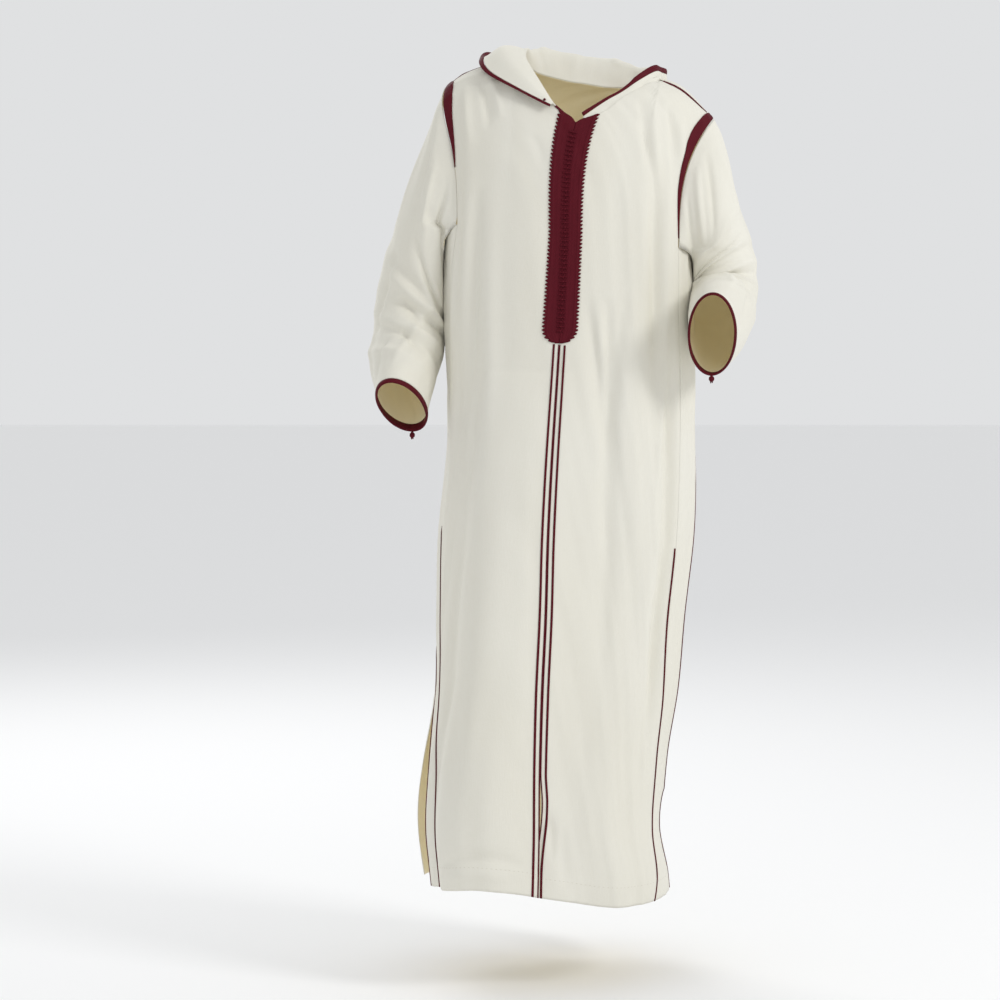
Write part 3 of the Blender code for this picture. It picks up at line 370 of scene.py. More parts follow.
def body_shape(turn, rise):
    """The smooth body. Up to the underarm it follows the level sections, and above that a superellipse in
    height and depth that ends on the shoulder seam."""
    turn, rise = np.broadcast_arrays(np.asarray(turn, float), np.asarray(rise, float))
    back_panel = (turn > BACK_SEAM) & (turn < 360 - BACK_SEAM)
    foot_z = underarm_z(turn)
    z = blend(HEM.at("z", turn), foot_z, np.clip(rise, 0, 1))
    low = section(true_turn(turn, z, back_panel), z)
    foot = section(true_turn(turn, foot_z, back_panel), foot_z)
    top = seam_point(turn)
    lean = np.clip(rise - 1, 0, 1) * last_lean(turn, foot_z)
    up, out = np.sin(lean) ** CHEST_ROUND, np.clip(np.cos(lean), 0, None) ** CHEST_ROUND
    share, in_front = shoulder_share(turn), np.abs(turn) <= FRONT_SEAM
    bulge = TIP_BULGE * np.clip(-share, 0, 1) ** 3 * up**4 * (1 - up)
    shift = np.where(in_front, NECK_LEAN * ease((0.40 - np.abs(share)) / 0.28), 0) * up**ARMHOLE_CURVE
    beside_neck = np.sin(np.pi * np.clip((share - 0.55) / 0.45, 0, 1))
    hump = np.where(in_front, 0, TRAPEZE * beside_neck * out * (1 - out) ** 4)
    high = np.stack([
        blend(foot[..., 0], top[..., 0], up**ARMHOLE_CURVE) - bulge + shift,
        blend(top[..., 1], foot[..., 1], out),
        blend(foot[..., 2], top[..., 2], up) + hump,
    ], axis=-1)
    return np.where((rise > 1)[..., None], high, low)


def rise_of(turn, z):
    """The rise at which a front turn reaches a height: body_shape's heights turned round."""
    foot_z = underarm_z(turn)
    low = (z - HEM.at("z", turn)) / (foot_z - HEM.at("z", turn))
    up = np.clip((z - foot_z) / (seam_point(turn)[..., 2] - foot_z), 0, 1)
    high = 1 + np.arcsin(up ** (1 / CHEST_ROUND)) / last_lean(turn, foot_z)
    return np.where(z > foot_z, np.minimum(high, 2), low)


def fold_height(turn, z):
    """The sum of the body's folds: each fades towards its ends and falls off across as a bell curve."""
    total = np.zeros(np.shape(turn))
    for top_z, top_turn, foot_z, foot_turn, width, height in BODY_FOLDS.rows:
        share = np.clip((top_z - z) / (top_z - foot_z), 0, 1)
        apart = (turn - blend(top_turn, foot_turn, share) + 180) % 360 - 180
        across = np.radians(apart) * BODY.at("half_width", z) / width
        total += height * np.sin(np.pi * share) ** 0.7 * np.exp(-across * across)
    return total


def crease_height(across, along, creases):
    """The sum of the creases at places on a cloth: each is a bell curve across its own bowed line, with one
    side steeper than the other, and swells and fades along it as a sine."""
    total = np.zeros(np.shape(across))
    for x0, z0, x1, z1, bow, width, height, skew in creases.rows:
        way = np.array([x1 - x0, z1 - z0])
        length = np.hypot(*way)
        way /= length
        share = ((across - x0) * way[0] + (along - z0) * way[1]) / length
        aside = (along - z0) * way[0] - (across - x0) * way[1] - bow * np.sin(np.pi * np.clip(share, 0, 1))
        half = width * (1 + skew * np.tanh(aside / width))
        near = np.clip(share, 0, 1)
        total += height * np.sin(np.pi * near) ** 0.8 * np.exp(-((aside / half) ** 2))
    return total


def uneven_height(across, along):
    """Low waves crossing at odd lengths, so that no stretch of cloth is quite smooth."""
    total = 0
    for wide, long, height, start in UNEVEN.rows:
        wander = 0.9 * np.sin(along / long * 2.3 + start)
        total = total + height * np.sin(2 * np.pi * (across / wide + along / long * 0.35) + wander + start)
    return total


def slit_step(turn, z):
    """At the foot of the front seam the right edge lies over the left one: a smooth step down the seam,
    times a bell curve across it."""
    open_share = ease((FRONT_SLIT_Z - 0.03 - z) / 0.10)
    return np.where(turn > 0, -1.0, 0.35) * FRONT_SLIT_STEP * open_share * np.exp(-((turn / 7) ** 2))


def slit_shift(turn, z):
    """The left edge of the front slit stands open at first, and passes under the right one at the hem: two
    smooth steps down the seam, times a bell curve across it."""
    open_share = ease((FRONT_SLIT_Z - z) / 0.05)
    under_share = ease((FRONT_SLIT_Z - 0.05 - z) / 0.12)
    return (FRONT_SLIT_UNDER * under_share - FRONT_SLIT_OPEN * open_share) * np.exp(-((turn / 9) ** 2))


class Panel:
    """A panel of the body, as a grid with a row for each rise and a column for each turn. It lies on the
    smooth body, moved along its normals by the folds, the creases and the dip at each of its seams."""

    def __init__(self, turns, rises, creases, across_axis=0, is_front=False):
        self.turns, self.rises = np.array(turns, float), np.array(rises, float)
        turn, rise = np.meshgrid(self.turns, self.rises)
        smooth = body_shape(turn, rise)
        z = smooth[..., 2]
        real = true_turn(turn, np.minimum(z, underarm_z(turn)), False)
        real = np.where(np.abs(turn) > FRONT_SEAM, real % 360, real)
        height = fold_height(real, z)
        self.across = run_of(smooth, axis=1)
        self.along = run_of(smooth)
        edge = np.minimum(self.across, self.across[:, -1:] - self.across)
        fade = ease(edge / SEAM_STIFF)
        depth = CREASE_DEPTH * blend(CREASE_AT_SEAM, 1, fade)
        height += depth * crease_height(smooth[..., across_axis], z, creases)
        height += uneven_height(smooth[..., across_axis] + 3 * smooth[..., 1], z) * fade
        height -= SEAM_DIP * np.exp(-((edge / SEAM_DIP_WIDTH) ** 2))
        if is_front:
            height += slit_step(turn, z)
        self.points = smooth + normals_of(smooth) * height[..., None]
        if is_front and turn.min() > 0:
            self.points[..., 0] -= slit_shift(turn, z)
        self.normals = normals_of(self.points)
        self.is_hem = self.along < HEM_TURNING

    def at(self, turn, rise, out):
        """The panel's own points, read between its rows and columns and moved out along its normals."""
        turn, rise = np.broadcast_arrays(np.asarray(turn, float), np.asarray(rise, float))
        j = np.clip(np.searchsorted(self.turns, turn, side="right") - 1, 0, len(self.turns) - 2)
        i = np.clip(np.searchsorted(self.rises, rise, side="right") - 1, 0, len(self.rises) - 2)
        across = ((turn - self.turns[j]) / (self.turns[j + 1] - self.turns[j]))[..., None]
        along = ((rise - self.rises[i]) / (self.rises[i + 1] - self.rises[i]))[..., None]
        point, normal = (
            blend(blend(g[i, j], g[i, j + 1], across), blend(g[i + 1, j], g[i + 1, j + 1], across), along)
            for g in (self.points, self.normals)
        )
        return point + unit(normal) * np.asarray(out, float)[..., None]


def grid_quads(rows, columns, wraps=False):
    """The corners of the four-sided faces of a grid, as points and as places of the unwrapped cloth."""
    i, j = np.meshgrid(np.arange(rows - 1), np.arange(columns - (not wraps)), indexing="ij")
    corners = ((i, j), (i, j + 1), (i + 1, j + 1), (i + 1, j))
    points = np.stack([a * columns + b % columns for a, b in corners], axis=-1).reshape(-1, 4)
    places = np.stack([a * (columns + wraps) + b for a, b in corners], axis=-1).reshape(-1, 4)
    return points, places


def border_of(rows, columns, wraps=False):
    """The points round the edge of a grid in order, as the edges that a wall's rim closes."""
    if wraps:
        first = np.arange(columns)
        last = (rows - 1) * columns + first
        pairs = [np.stack([first, np.roll(first, -1)], axis=-1), np.stack([np.roll(last, -1), last], axis=-1)]
        return np.concatenate(pairs)
    ring = np.concatenate([
        np.arange(columns), np.arange(1, rows) * columns + columns - 1,
        (rows - 1) * columns + np.arange(columns - 2, -1, -1), np.arange(rows - 2, 0, -1) * columns,
    ])
    return np.stack([ring, np.roll(ring, -1)], axis=-1)


def add_piece(name, points, faces, texture, finish):
    """A mesh whose faces all have as many corners, with a UV map in metres of cloth."""
    mesh = bpy.data.meshes.new(name)
    mesh.vertices.add(len(points))
    mesh.vertices.foreach_set("co", np.ascontiguousarray(points, dtype=np.float32).ravel())
    mesh.loops.add(faces.size)
    mesh.loops.foreach_set("vertex_index", faces.astype(np.int32).ravel())
    mesh.polygons.add(len(faces))
    mesh.polygons.foreach_set("loop_start", np.arange(0, faces.size, faces.shape[1], dtype=np.int32))
    mesh.uv_layers.new(name="cloth")
    mesh.uv_layers["cloth"].data.foreach_set("uv", np.ascontiguousarray(texture, dtype=np.float32).ravel())
    mesh.update(calc_edges=True)
    mesh.validate()
    mesh.shade_smooth()
    mesh.materials.append(finish)
    piece = bpy.data.objects.new(name, mesh)
    bpy.context.scene.collection.objects.link(piece)
    return piece


def wall(name, points, half, texture, finish, wraps=False, raised=0, painted_inside=None):
    """A wall on a grid of points: an outer and an inner layer, half its thickness to each side along the
    normals, joined round the edge. raised lifts the outer layer alone, and painted_inside is the finish of
    the inner one, which carries painted light."""
    rows, columns = points.shape[:2]
    if wraps:
        padded = np.concatenate([points[:, -1:], points, points[:, :1]], axis=1)
        normals = normals_of(padded)[:, 1:-1]
    else:
        normals = normals_of(points)
    half = np.broadcast_to(half, (rows, columns))[..., None]
    raised = np.broadcast_to(raised, (rows, columns))[..., None]
    outer, inner = points + normals * (half + raised), points - normals * half
    quads, places = grid_quads(rows, columns, wraps)
    count = rows * columns
    pairs = border_of(rows, columns, wraps)
    rim = np.stack([pairs[:, 1], pairs[:, 0], pairs[:, 0] + count, pairs[:, 1] + count], axis=-1)
    flat = texture.reshape(-1, 2)
    at_edge = texture[:, :columns].reshape(-1, 2)
    maps = [flat[places], flat[places[:, ::-1]], at_edge[rim % count]]
    faces = [quads, quads[:, ::-1] + count, rim]
    everything = np.concatenate([outer.reshape(-1, 3), inner.reshape(-1, 3)])
    piece = add_piece(name, everything, np.concatenate(faces), np.concatenate(maps), finish)
    if painted_inside:
        piece.data.materials.append(painted_inside)
        is_inner = np.arange(len(piece.data.polygons)) // len(quads) == 1
        piece.data.polygons.foreach_set("material_index", is_inner.astype(np.int32))
    return piece


def sewn(piece, node=None):
    """Attaches a piece to the robe's root, and hides the part of the frame that it stands for."""
    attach(piece, "root")
    if node:
        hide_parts(node)
    return piece


class Wire:
    """A socket. Sums, products and powers of wires and numbers add Math nodes."""

    def __init__(self, finish, socket):
        self.finish, self.socket = finish, socket

    def math(self, operation, first, second):
        """Two wires or numbers joined by a Math node."""
        return self.finish.node("ShaderNodeMath", {"operation": operation}, {0: first, 1: second})

    def __add__(self, other):
        return self.math("ADD", self, other)

    def __sub__(self, other):
        return self.math("SUBTRACT", self, other)

    def __rsub__(self, other):
        return self.math("SUBTRACT", other, self)

    def __mul__(self, other):
        return self.math("MULTIPLY", self, other)

    def __pow__(self, other):
        return self.math("POWER", self, other)

    __radd__ = __add__
    __rmul__ = __mul__

    def sine(self):
        """The sine of a wire, in radians."""
        return self.finish.node("ShaderNodeMath", {"operation": "SINE"}, {0: self})

    def size(self):
        """A wire's value without its sign."""
        return self.finish.node("ShaderNodeMath", {"operation": "ABSOLUTE"}, {0: self})


class Finish:
    """A material, with the even values of its shader's sockets. node() adds any node: its type, its settings,
    and the values or wires of its sockets."""

    def __init__(self, name, sockets):
        self.made = bpy.data.materials.new(name)
        self.made.use_nodes = True
        self.tree = self.made.node_tree
        self.shader = self.tree.nodes["Principled BSDF"]
        for socket, value in sockets.items():
            self.shader.inputs[socket].default_value = value

    def feed(self, socket, value):
        """Links a wire to a socket, or writes a plain value there."""
        if isinstance(value, Wire):
            self.tree.links.new(value.socket, socket)
        else:
            socket.default_value = value

    def node(self, kind, settings=None, sockets=None, output=0):
        """A new node, its settings first and then its sockets, as the wire of one of its outputs."""
        made = self.tree.nodes.new(kind)
        for name, value in (settings or {}).items():
            setattr(made, name, value)
        for name, value in (sockets or {}).items():
            self.feed(made.inputs[name], value)
        return Wire(self, made.outputs[output])

    def cloth_place(self):
        """The place on the flat cloth, in metres across and along."""
        place = self.node("ShaderNodeTexCoord", output="UV")
        return [self.node("ShaderNodeSeparateXYZ", sockets={0: place}, output=axis) for axis in "XY"]

    def noise(self, across, along, detail=2.0, rough=0.5):
        """Noise from 0 to 1 over a place already scaled to the size of one blot."""
        place = self.node("ShaderNodeCombineXYZ", sockets={"X": across, "Y": along})
        sockets = {"Vector": place, "Scale": 1.0, "Detail": detail, "Roughness": rough}
        return self.node("ShaderNodeTexNoise", {"noise_dimensions": "2D"}, sockets, "Fac")

    def mix(self, share, low, high):
        """The colour between two others, the low one at a share of 0."""
        return self.node("ShaderNodeMix", {"data_type": "RGBA"}, {0: share, 6: (*low, 1), 7: (*high, 1)}, 2)

    def colour(self, wire):
        """The colour of the surface."""
        self.feed(self.shader.inputs["Base Color"], wire)

    def bump(self, height, distance, strength):
        """Fine relief: height runs from 0 to about 1, and distance is how many metres that is."""
        sockets = {"Height": height, "Distance": distance, "Strength": strength}
        self.feed(self.shader.inputs["Normal"], self.node("ShaderNodeBump", sockets=sockets))


def wool(name, deep, pale, painted_glow=0.0):
    """Fine wool in a plain weave: the product of two sines for the weave, with long thin noise for threads
    uneven along their length, finer noise for a short nap, and broad noise for the dye. painted_glow makes it
    glow faintly in its pale colour, as painted light."""
    made = Finish(name, {
        "Roughness": 0.88, "Sheen Weight": 0.18, "Sheen Tint": WOOL_SHEEN,
        "Emission Color": (*pale, 1), "Emission Strength": painted_glow,
    })
    across, along = made.cloth_place()
    pitch = 2 * math.pi / WOOL_THREADS
    weave = (across * pitch).sine() * (along * pitch).sine()
    warp = made.noise(across * 900, along * 45, 3)
    weft = made.noise(across * 45, along * 900, 3)
    nap = made.noise(across * 260, along * 190, 4, 0.6)
    blots = made.noise(across * 7 + 3.1, along * 2.2, 2)
    tone = blots * 0.55 + warp * 0.28 + weft * 0.12 + nap * 0.10
    made.colour(made.mix(tone, deep, pale))
    made.bump(weave * 0.16 + warp * 0.55 + weft * 0.40 + nap * 0.45, 0.00045, 0.55)
    return made.made


cream = wool("cream_wool", CREAM_DEEP, CREAM)
# The inner faces' finish is painted light: a paler, yellower cream that glows faintly.
painted_inside = wool("wool_inside_painted_light", INSIDE_PAINTED_LIGHT_DEEP, INSIDE_PAINTED_LIGHT, INSIDE_PAINTED_GLOW)

HEM_LAYER = 0.0006
LOW_RISES = np.linspace(0, 1, 238)
HIGH_RISES = blend(1, TOP_RISE, np.linspace(0, 1, 74)[1:])
RISES = np.concatenate([LOW_RISES, HIGH_RISES])
FRONT_TURNS = np.concatenate([
    [SEAM_TURN, 0.35, 0.8], np.linspace(1.6, 68.6, 56), [69.2, 69.6, FRONT_SEAM - SEAM_TURN]
])
front_left = Panel(FRONT_TURNS, RISES, FRONT_CREASES, is_front=True)
front_right = Panel(-FRONT_TURNS[::-1], RISES, FRONT_CREASES, is_front=True)


def panel_piece(name, panel):
    """A panel as a wall of cloth, thicker over the turning of its hem, which shows as a faint step."""
    hem = 1 - ease((panel.along - HEM_TURNING) / 0.003)
    edge = np.exp(-((panel.along / 0.0016) ** 2))
    half = CLOTH / 2 + HEM_LAYER * hem * 0.6 - 0.0005 * edge
    texture = np.stack([panel.across, panel.along], axis=-1)
    piece = wall(f"{name}_cloth", panel.points, half, texture, cream, painted_inside=painted_inside)
    sewn(piece, name)


panel_piece("front_left", front_left)
panel_piece("front_right", front_right)

# The back: one piece of the same wool from the shoulders to the hem, sewn to the fronts along the shoulders.
# It hangs free in a few broad folds, and takes small creases where it is drawn in under the hood.
BACK_CREASES = Table(CREASE, [
    (-0.150, -0.090, -0.165, -0.360, 0.006, 0.012, 0.0022, 0.2),
    (-0.110, -0.140, -0.060, -0.420, 0.010, 0.014, -0.0024, 0.3),
    (0.120, -0.150, 0.052, -0.440, -0.012, 0.013, -0.0026, -0.3),
    (0.165, -0.160, 0.150, -0.420, -0.004, 0.011, 0.0020, 0.0),
    (-0.140, -0.300, -0.115, -0.760, -0.008, 0.013, -0.0024, 0.4),
    (-0.170, -0.420, -0.160, -0.900, 0.006, 0.011, 0.0022, 0.0),
    (-0.070, -0.380, -0.090, -0.800, 0.005, 0.010, 0.0018, -0.3),
    (-0.030, -0.420, -0.020, -0.960, 0.006, 0.012, -0.0022, 0.2),
    (0.012, -0.450, 0.020, -0.820, -0.004, 0.010, 0.0020, 0.0),
    (0.060, -0.390, 0.072, -1.000, 0.008, 0.014, -0.0024, 0.3),
    (0.105, -0.360, 0.112, -0.720, -0.005, 0.009, 0.0020, 0.0),
    (0.142, -0.480, 0.128, -1.050, 0.006, 0.012, -0.0024, -0.4),
    (-0.100, -0.860, -0.112, -1.290, 0.006, 0.013, -0.0022, 0.2),
    (-0.150, -0.900, -0.164, -1.340, -0.005, 0.012, 0.0022, 0.0),
    (-0.040, -0.980, -0.034, -1.370, 0.006, 0.011, 0.0018, 0.0),
    (0.010, -0.900, 0.004, -1.330, -0.006, 0.014, -0.0020, 0.3),
    (0.066, -1.040, 0.060, -1.370, 0.004, 0.010, 0.0018, 0.0),
    (0.110, -0.940, 0.100, -1.340, -0.006, 0.013, -0.0022, 0.0),
    (-0.120, -0.500, 0.020, -0.540, 0.018, 0.010, -0.0018, 0.3),
    (0.130, -0.560, 0.030, -0.590, -0.014, 0.009, -0.0016, 0.3),
    (-0.085, -0.200, 0.010, -0.300, 0.016, 0.012, 0.0016, 0.0),
    (0.090, -0.230, 0.030, -0.300, -0.010, 0.010, 0.0014, 0.0),
    (-0.150, -1.300, -0.080, -1.335, 0.012, 0.009, -0.0018, 0.2),
    (0.110, -1.290, 0.050, -1.330, -0.010, 0.008, -0.0018, 0.0),
])
BACK_STEPS = 104

back_turns = np.linspace(BACK_SEAM + 0.6, 360 - BACK_SEAM - 0.6, BACK_STEPS)
back_turns = np.concatenate([[BACK_SEAM + SEAM_TURN], back_turns, [360 - BACK_SEAM - SEAM_TURN]])
back = Panel(back_turns, RISES, BACK_CREASES)
panel_piece("back", back)

# The gores: a long wedge of the wool let in at each side, from the underarm to the hem, to give the stride
# its width. The back seam of each is left open at the foot as a vent.
GORE_CREASES = Table(CREASE, [
    (-0.020, -0.330, -0.040, -0.620, 0.006, 0.010, 0.0018, 0.0),
    (0.030, -0.340, 0.012, -0.560, -0.005, 0.009, -0.0020, 0.3),
    (0.060, -0.420, 0.050, -0.800, 0.004, 0.010, 0.0016, 0.0),
    (-0.060, -0.560, -0.050, -0.960, 0.005, 0.010, -0.0020, 0.2),
    (0.000, -0.640, 0.010, -1.080, -0.006, 0.011, 0.0018, 0.0),
    (-0.030, -0.900, -0.050, -1.300, 0.005, 0.012, -0.0018, 0.3),
    (-0.090, -0.860, -0.100, -1.320, -0.004, 0.010, 0.0016, 0.0),
    (0.020, -1.060, 0.024, -1.350, 0.004, 0.009, -0.0018, 0.0),
])
gore_turns = np.concatenate([
    [FRONT_SEAM + SEAM_TURN], np.linspace(FRONT_SEAM + 0.5, BACK_SEAM - 0.5, 27), [BACK_SEAM - SEAM_TURN]
])
gore_left = Panel(gore_turns, LOW_RISES, GORE_CREASES, across_axis=1)
gore_right = Panel(-gore_turns[::-1], LOW_RISES, GORE_CREASES, across_axis=1)
panel_piece("gore_left", gore_left)
panel_piece("gore_right", gore_right)

# The sleeves: each is cut in one piece of the wool, closed by a seam underneath and set into the armhole.
# They are wide there and narrow to the cuff, and the cloth breaks into soft creases at the elbows.
SLEEVE_STEP = 0.004  # how far the cloth steps outward from the armhole's braid
SEAM_GAP = 0.0014
ARM_ROUND = 0.074
ARM_LENGTH = 0.44
ARMHOLE_REACH = 0.30  # the share of the sleeve that is still drawn to the armhole's shape
BODY_CLEARANCE = 0.0035
SLEEVE_CREASE_DEPTH = 2.2
LEFT_SLEEVE = Table("station x y z reach depth drop heading roll", [
    (0.00, 0.205, 0.000, -0.208, 0.110, 0.072, 10, 0, 0),
    (0.12, 0.215, 0.004, -0.240, 0.089, 0.080, 18, 0, 0),
    (0.26, 0.226, 0.012, -0.290, 0.066, 0.081, 32, 4, 0),
    (0.41, 0.236, 0.026, -0.342, 0.065, 0.079, 50, 16, 0),
    (0.56, 0.235, 0.036, -0.385, 0.064, 0.077, 66, 48, 0),
    (0.70, 0.235, 0.005, -0.412, 0.057, 0.076, 45, 88, -4),
    (0.85, 0.224, -0.085, -0.437, 0.050, 0.075, 30, 94, -10),
    (1.00, 0.206, -0.182, -0.459, 0.038, 0.072, 26, 98, -16),
])
RIGHT_SLEEVE = Table("station x y z reach depth drop heading roll", [
    (0.00, 0.219, 0.000, -0.162, 0.115, 0.072, 4, 0, 0),
    (0.12, 0.235, 0.005, -0.208, 0.087, 0.079, 8, 0, 0),
    (0.25, 0.247, 0.012, -0.258, 0.072, 0.080, 19, 0, 0),
    (0.40, 0.260, 0.022, -0.322, 0.062, 0.079, 42, 6, 0),
    (0.55, 0.272, 0.028, -0.398, 0.062, 0.078, 66, 20, 0),
    (0.70, 0.277, 0.018, -0.462, 0.061, 0.078, 76, 60, -5),
    (0.85, 0.284, -0.020, -0.518, 0.054, 0.076, 66, 84, -14),
    (1.00, 0.288, -0.065, -0.573, 0.038, 0.072, 54, 88, -25),
])
# The broad bends of each sleeve. turn runs round the arm, 0 outside and 90 in front, and slant moves a bend
# along the arm as it goes round.
BENDS = "station turn spread width slant height"
LEFT_BENDS = Table(BENDS, [
    (0.30, 75, 70, 0.030, 0.0006, 0.004),
    (0.46, 80, 85, 0.022, 0.0004, -0.007),
    (0.52, 85, 90, 0.022, 0.0004, 0.006),
    (0.58, 80, 80, 0.020, 0.0005, -0.007),
    (0.65, 85, 80, 0.024, 0.0006, 0.006),
    (0.73, 60, 70, 0.024, 0.0008, -0.005),
    (0.60, 250, 70, 0.030, -0.0006, 0.006),
    (0.82, 40, 70, 0.030, 0.0010, 0.004),
])
RIGHT_BENDS = Table(BENDS, [
    (0.22, 120, 60, 0.030, -0.0012, -0.004),
    (0.52, 70, 70, 0.026, 0.0012, -0.006),
    (0.58, 90, 80, 0.024, 0.0012, 0.006),
    (0.64, 110, 70, 0.022, 0.0010, -0.007),
    (0.70, 80, 80, 0.024, 0.0008, 0.006),
    (0.76, 100, 70, 0.020, 0.0010, -0.006),
    (0.83, 60, 80, 0.026, 0.0008, 0.005),
    (0.62, 260, 70, 0.030, -0.0006, 0.005),
])
# The smaller creases, as on the fronts, with x round the arm from its outer side and z down along it.
LEFT_CREASES = Table(CREASE, [
    (0.185, 0.180, 0.040, 0.165, -0.012, 0.006, -0.0032, 0.3),
    (0.175, 0.212, 0.030, 0.204, -0.010, 0.006, -0.0030, 0.2),
    (0.150, 0.240, 0.060, 0.250, -0.008, 0.006, 0.0022, 0.0),
    (0.012, 0.150, 0.006, 0.260, 0.004, 0.008, -0.0026, 0.2),
    (-0.020, 0.120, -0.030, 0.240, 0.005, 0.009, 0.0022, 0.0),
    (0.170, 0.312, 0.030, 0.300, 0.014, 0.007, -0.0032, 0.3),
    (0.120, 0.345, 0.020, 0.338, 0.008, 0.006, 0.0020, 0.0),
    (0.160, 0.110, 0.112, 0.020, 0.004, 0.010, 0.0026, 0.2),
    (0.130, 0.120, 0.085, 0.020, -0.004, 0.009, -0.0022, 0.0),
    (0.190, 0.090, 0.150, 0.015, 0.003, 0.008, -0.0018, 0.0),
    (0.060, 0.030, 0.040, 0.140, 0.005, 0.010, 0.0018, 0.0),
    (0.000, 0.020, -0.010, 0.110, 0.004, 0.009, -0.0016, 0.0),
    (0.100, 0.270, 0.075, 0.390, 0.005, 0.008, 0.0018, 0.0),
    (0.045, 0.290, 0.020, 0.400, -0.004, 0.008, -0.0020, 0.2),
    (-0.090, 0.060, -0.110, 0.200, 0.005, 0.010, -0.0024, 0.3),
    (-0.140, 0.040, -0.150, 0.180, -0.004, 0.009, 0.0020, 0.0),
    (-0.060, 0.200, -0.150, 0.230, 0.010, 0.008, -0.0026, 0.3),
    (-0.040, 0.250, -0.140, 0.290, 0.008, 0.008, -0.0022, 0.0),
    (-0.080, 0.300, -0.120, 0.400, 0.004, 0.009, 0.0020, 0.0),
])
RIGHT_CREASES = Table(CREASE, [
    (0.088, 0.165, 0.204, 0.268, 0.012, 0.008, -0.0040, 0.4),
    (0.100, 0.195, 0.190, 0.290, 0.008, 0.008, 0.0026, 0.0),
    (0.048, 0.205, 0.030, 0.320, 0.006, 0.011, -0.0044, 0.3),
    (0.055, 0.268, 0.136, 0.300, -0.014, 0.007, -0.0032, 0.3),
    (0.070, 0.290, 0.130, 0.318, -0.010, 0.006, 0.0018, 0.0),
    (0.100, 0.315, 0.170, 0.365, 0.005, 0.007, -0.0030, 0.2),
    (0.180, 0.015, 0.204, 0.170, 0.005, 0.009, 0.0030, 0.3),
    (0.160, 0.020, 0.180, 0.190, -0.004, 0.010, -0.0026, 0.0),
    (0.120, 0.040, 0.110, 0.180, 0.006, 0.010, 0.0018, 0.0),
    (0.080, 0.020, 0.070, 0.150, -0.005, 0.011, -0.0018, 0.2),
    (0.030, 0.030, 0.020, 0.180, 0.004, 0.010, 0.0020, 0.0),
    (0.150, 0.230, 0.110, 0.410, 0.005, 0.009, 0.0020, 0.0),
    (0.080, 0.330, 0.050, 0.430, 0.004, 0.008, -0.0024, 0.2),
    (0.020, 0.300, 0.000, 0.410, -0.004, 0.009, 0.0020, 0.0),
    (-0.030, 0.060, -0.040, 0.230, 0.006, 0.010, -0.0024, 0.2),
    (-0.090, 0.050, -0.100, 0.220, -0.005, 0.011, 0.0022, 0.0),
    (-0.060, 0.230, -0.150, 0.260, 0.010, 0.008, -0.0026, 0.3),
    (-0.050, 0.290, -0.140, 0.330, 0.008, 0.008, -0.0022, 0.0),
    (-0.100, 0.330, -0.120, 0.430, 0.004, 0.009, 0.0018, 0.0),
])


def armhole(turn, side):
    """The armhole's edge at a turn round the arm: the front edge, the top of the gore, and the back edge."""
    front_corner, back_corner = 150, 210
    turn = np.asarray(turn, float) % 360
    down = body_shape(side * FRONT_SEAM, 2 - np.clip(turn / front_corner, 0, 1))
    rear = BACK_SEAM + 0.001 if side > 0 else 360 - BACK_SEAM - 0.001
    upward = body_shape(rear, 1 + np.clip((turn - back_corner) / front_corner, 0, 1))
    share = np.clip((turn - front_corner) / (back_corner - front_corner), 0, 1)
    under = body_shape(side * blend(FRONT_SEAM, BACK_SEAM, share), 1.0) + (0, 0, 2 * SEAM_GAP)
    turn = turn[..., None]
    edge = np.select([turn <= front_corner, turn >= back_corner], [down, upward], under)
    return edge * (side, 1, 1)


def sleeve_frames(table):
    """For each row of a sleeve's table, the way along the arm and the way out across it, without twist."""
    drop, heading = np.radians(table.column("drop")), np.radians(table.column("heading"))
    along = np.stack([
        np.cos(drop) * np.cos(heading), -np.cos(drop) * np.sin(heading), -np.sin(drop)
    ], axis=-1)
    outward = [np.array([math.sin(drop[0]), 0, math.cos(drop[0])])]
    for before, after in zip(along[:-1], along[1:]):
        turned = Vector(before).rotation_difference(Vector(after)) @ Vector(outward[-1])
        outward.append(np.array(turned))
    return along, np.array(outward)


def sleeve_rings(table, turn, station):
    """Points of the ellipses that stand across the arm at their stations."""
    along, outward = sleeve_frames(table)
    names = [f"{name}_{axis}" for name in ("along", "out") for axis in "xyz"]
    frames = Table("station " + " ".join(names), np.hstack([table.rows[:, :1], along, outward]))
    ways = [np.stack([frames.at(name, station) for name in names[k:k + 3]], axis=-1) for k in (0, 3)]
    way = unit(ways[0])
    out = unit(ways[1] - way * (ways[1] * way).sum(-1, keepdims=True))
    fore = np.cross(way, out)
    roll = np.radians(table.at("roll", station))[..., None]
    out, fore = out * np.cos(roll) + fore * np.sin(roll), fore * np.cos(roll) - out * np.sin(roll)
    centre = np.stack([table.at(name, station) for name in "xyz"], axis=-1)
    cos, sin = np.cos(np.radians(turn))[..., None], np.sin(np.radians(turn))[..., None]
    reach, depth = table.at("reach", station)[..., None], table.at("depth", station)[..., None]
    return centre + out * cos * reach + fore * sin * depth


def clear_of_body(points, side, snug):
    """Points beside the body moved outward until the sleeve just clears the cloth that it hangs against, and
    drawn in to it where it is snug."""
    x, y, z = points[..., 0], points[..., 1], points[..., 2]
    depth = np.where(y < BODY.at("centre_y", z), BODY.at("front", z), BODY.at("back", z))
    inward = np.clip(np.abs(y - BODY.at("centre_y", z)) / (depth + 0.006), 0, 1)
    half = BODY.at("half_width", z) * np.clip(1 - inward**RING_ROUND, 0, None) ** (1 / RING_ROUND)
    side_x = side * BODY.at("centre_x", z) + half + BODY_CLEARANCE
    below = ease((UNDERARM_Z - side * SHOULDER_TILT + 0.004 - z) / 0.012)
    clear_x = np.maximum(x, blend(x, side_x, below))
    clear_x = blend(clear_x, side_x, snug * below * ease((1 - inward) / 0.2))
    return np.stack([np.where(inward < 1, clear_x, x), y, z], axis=-1)


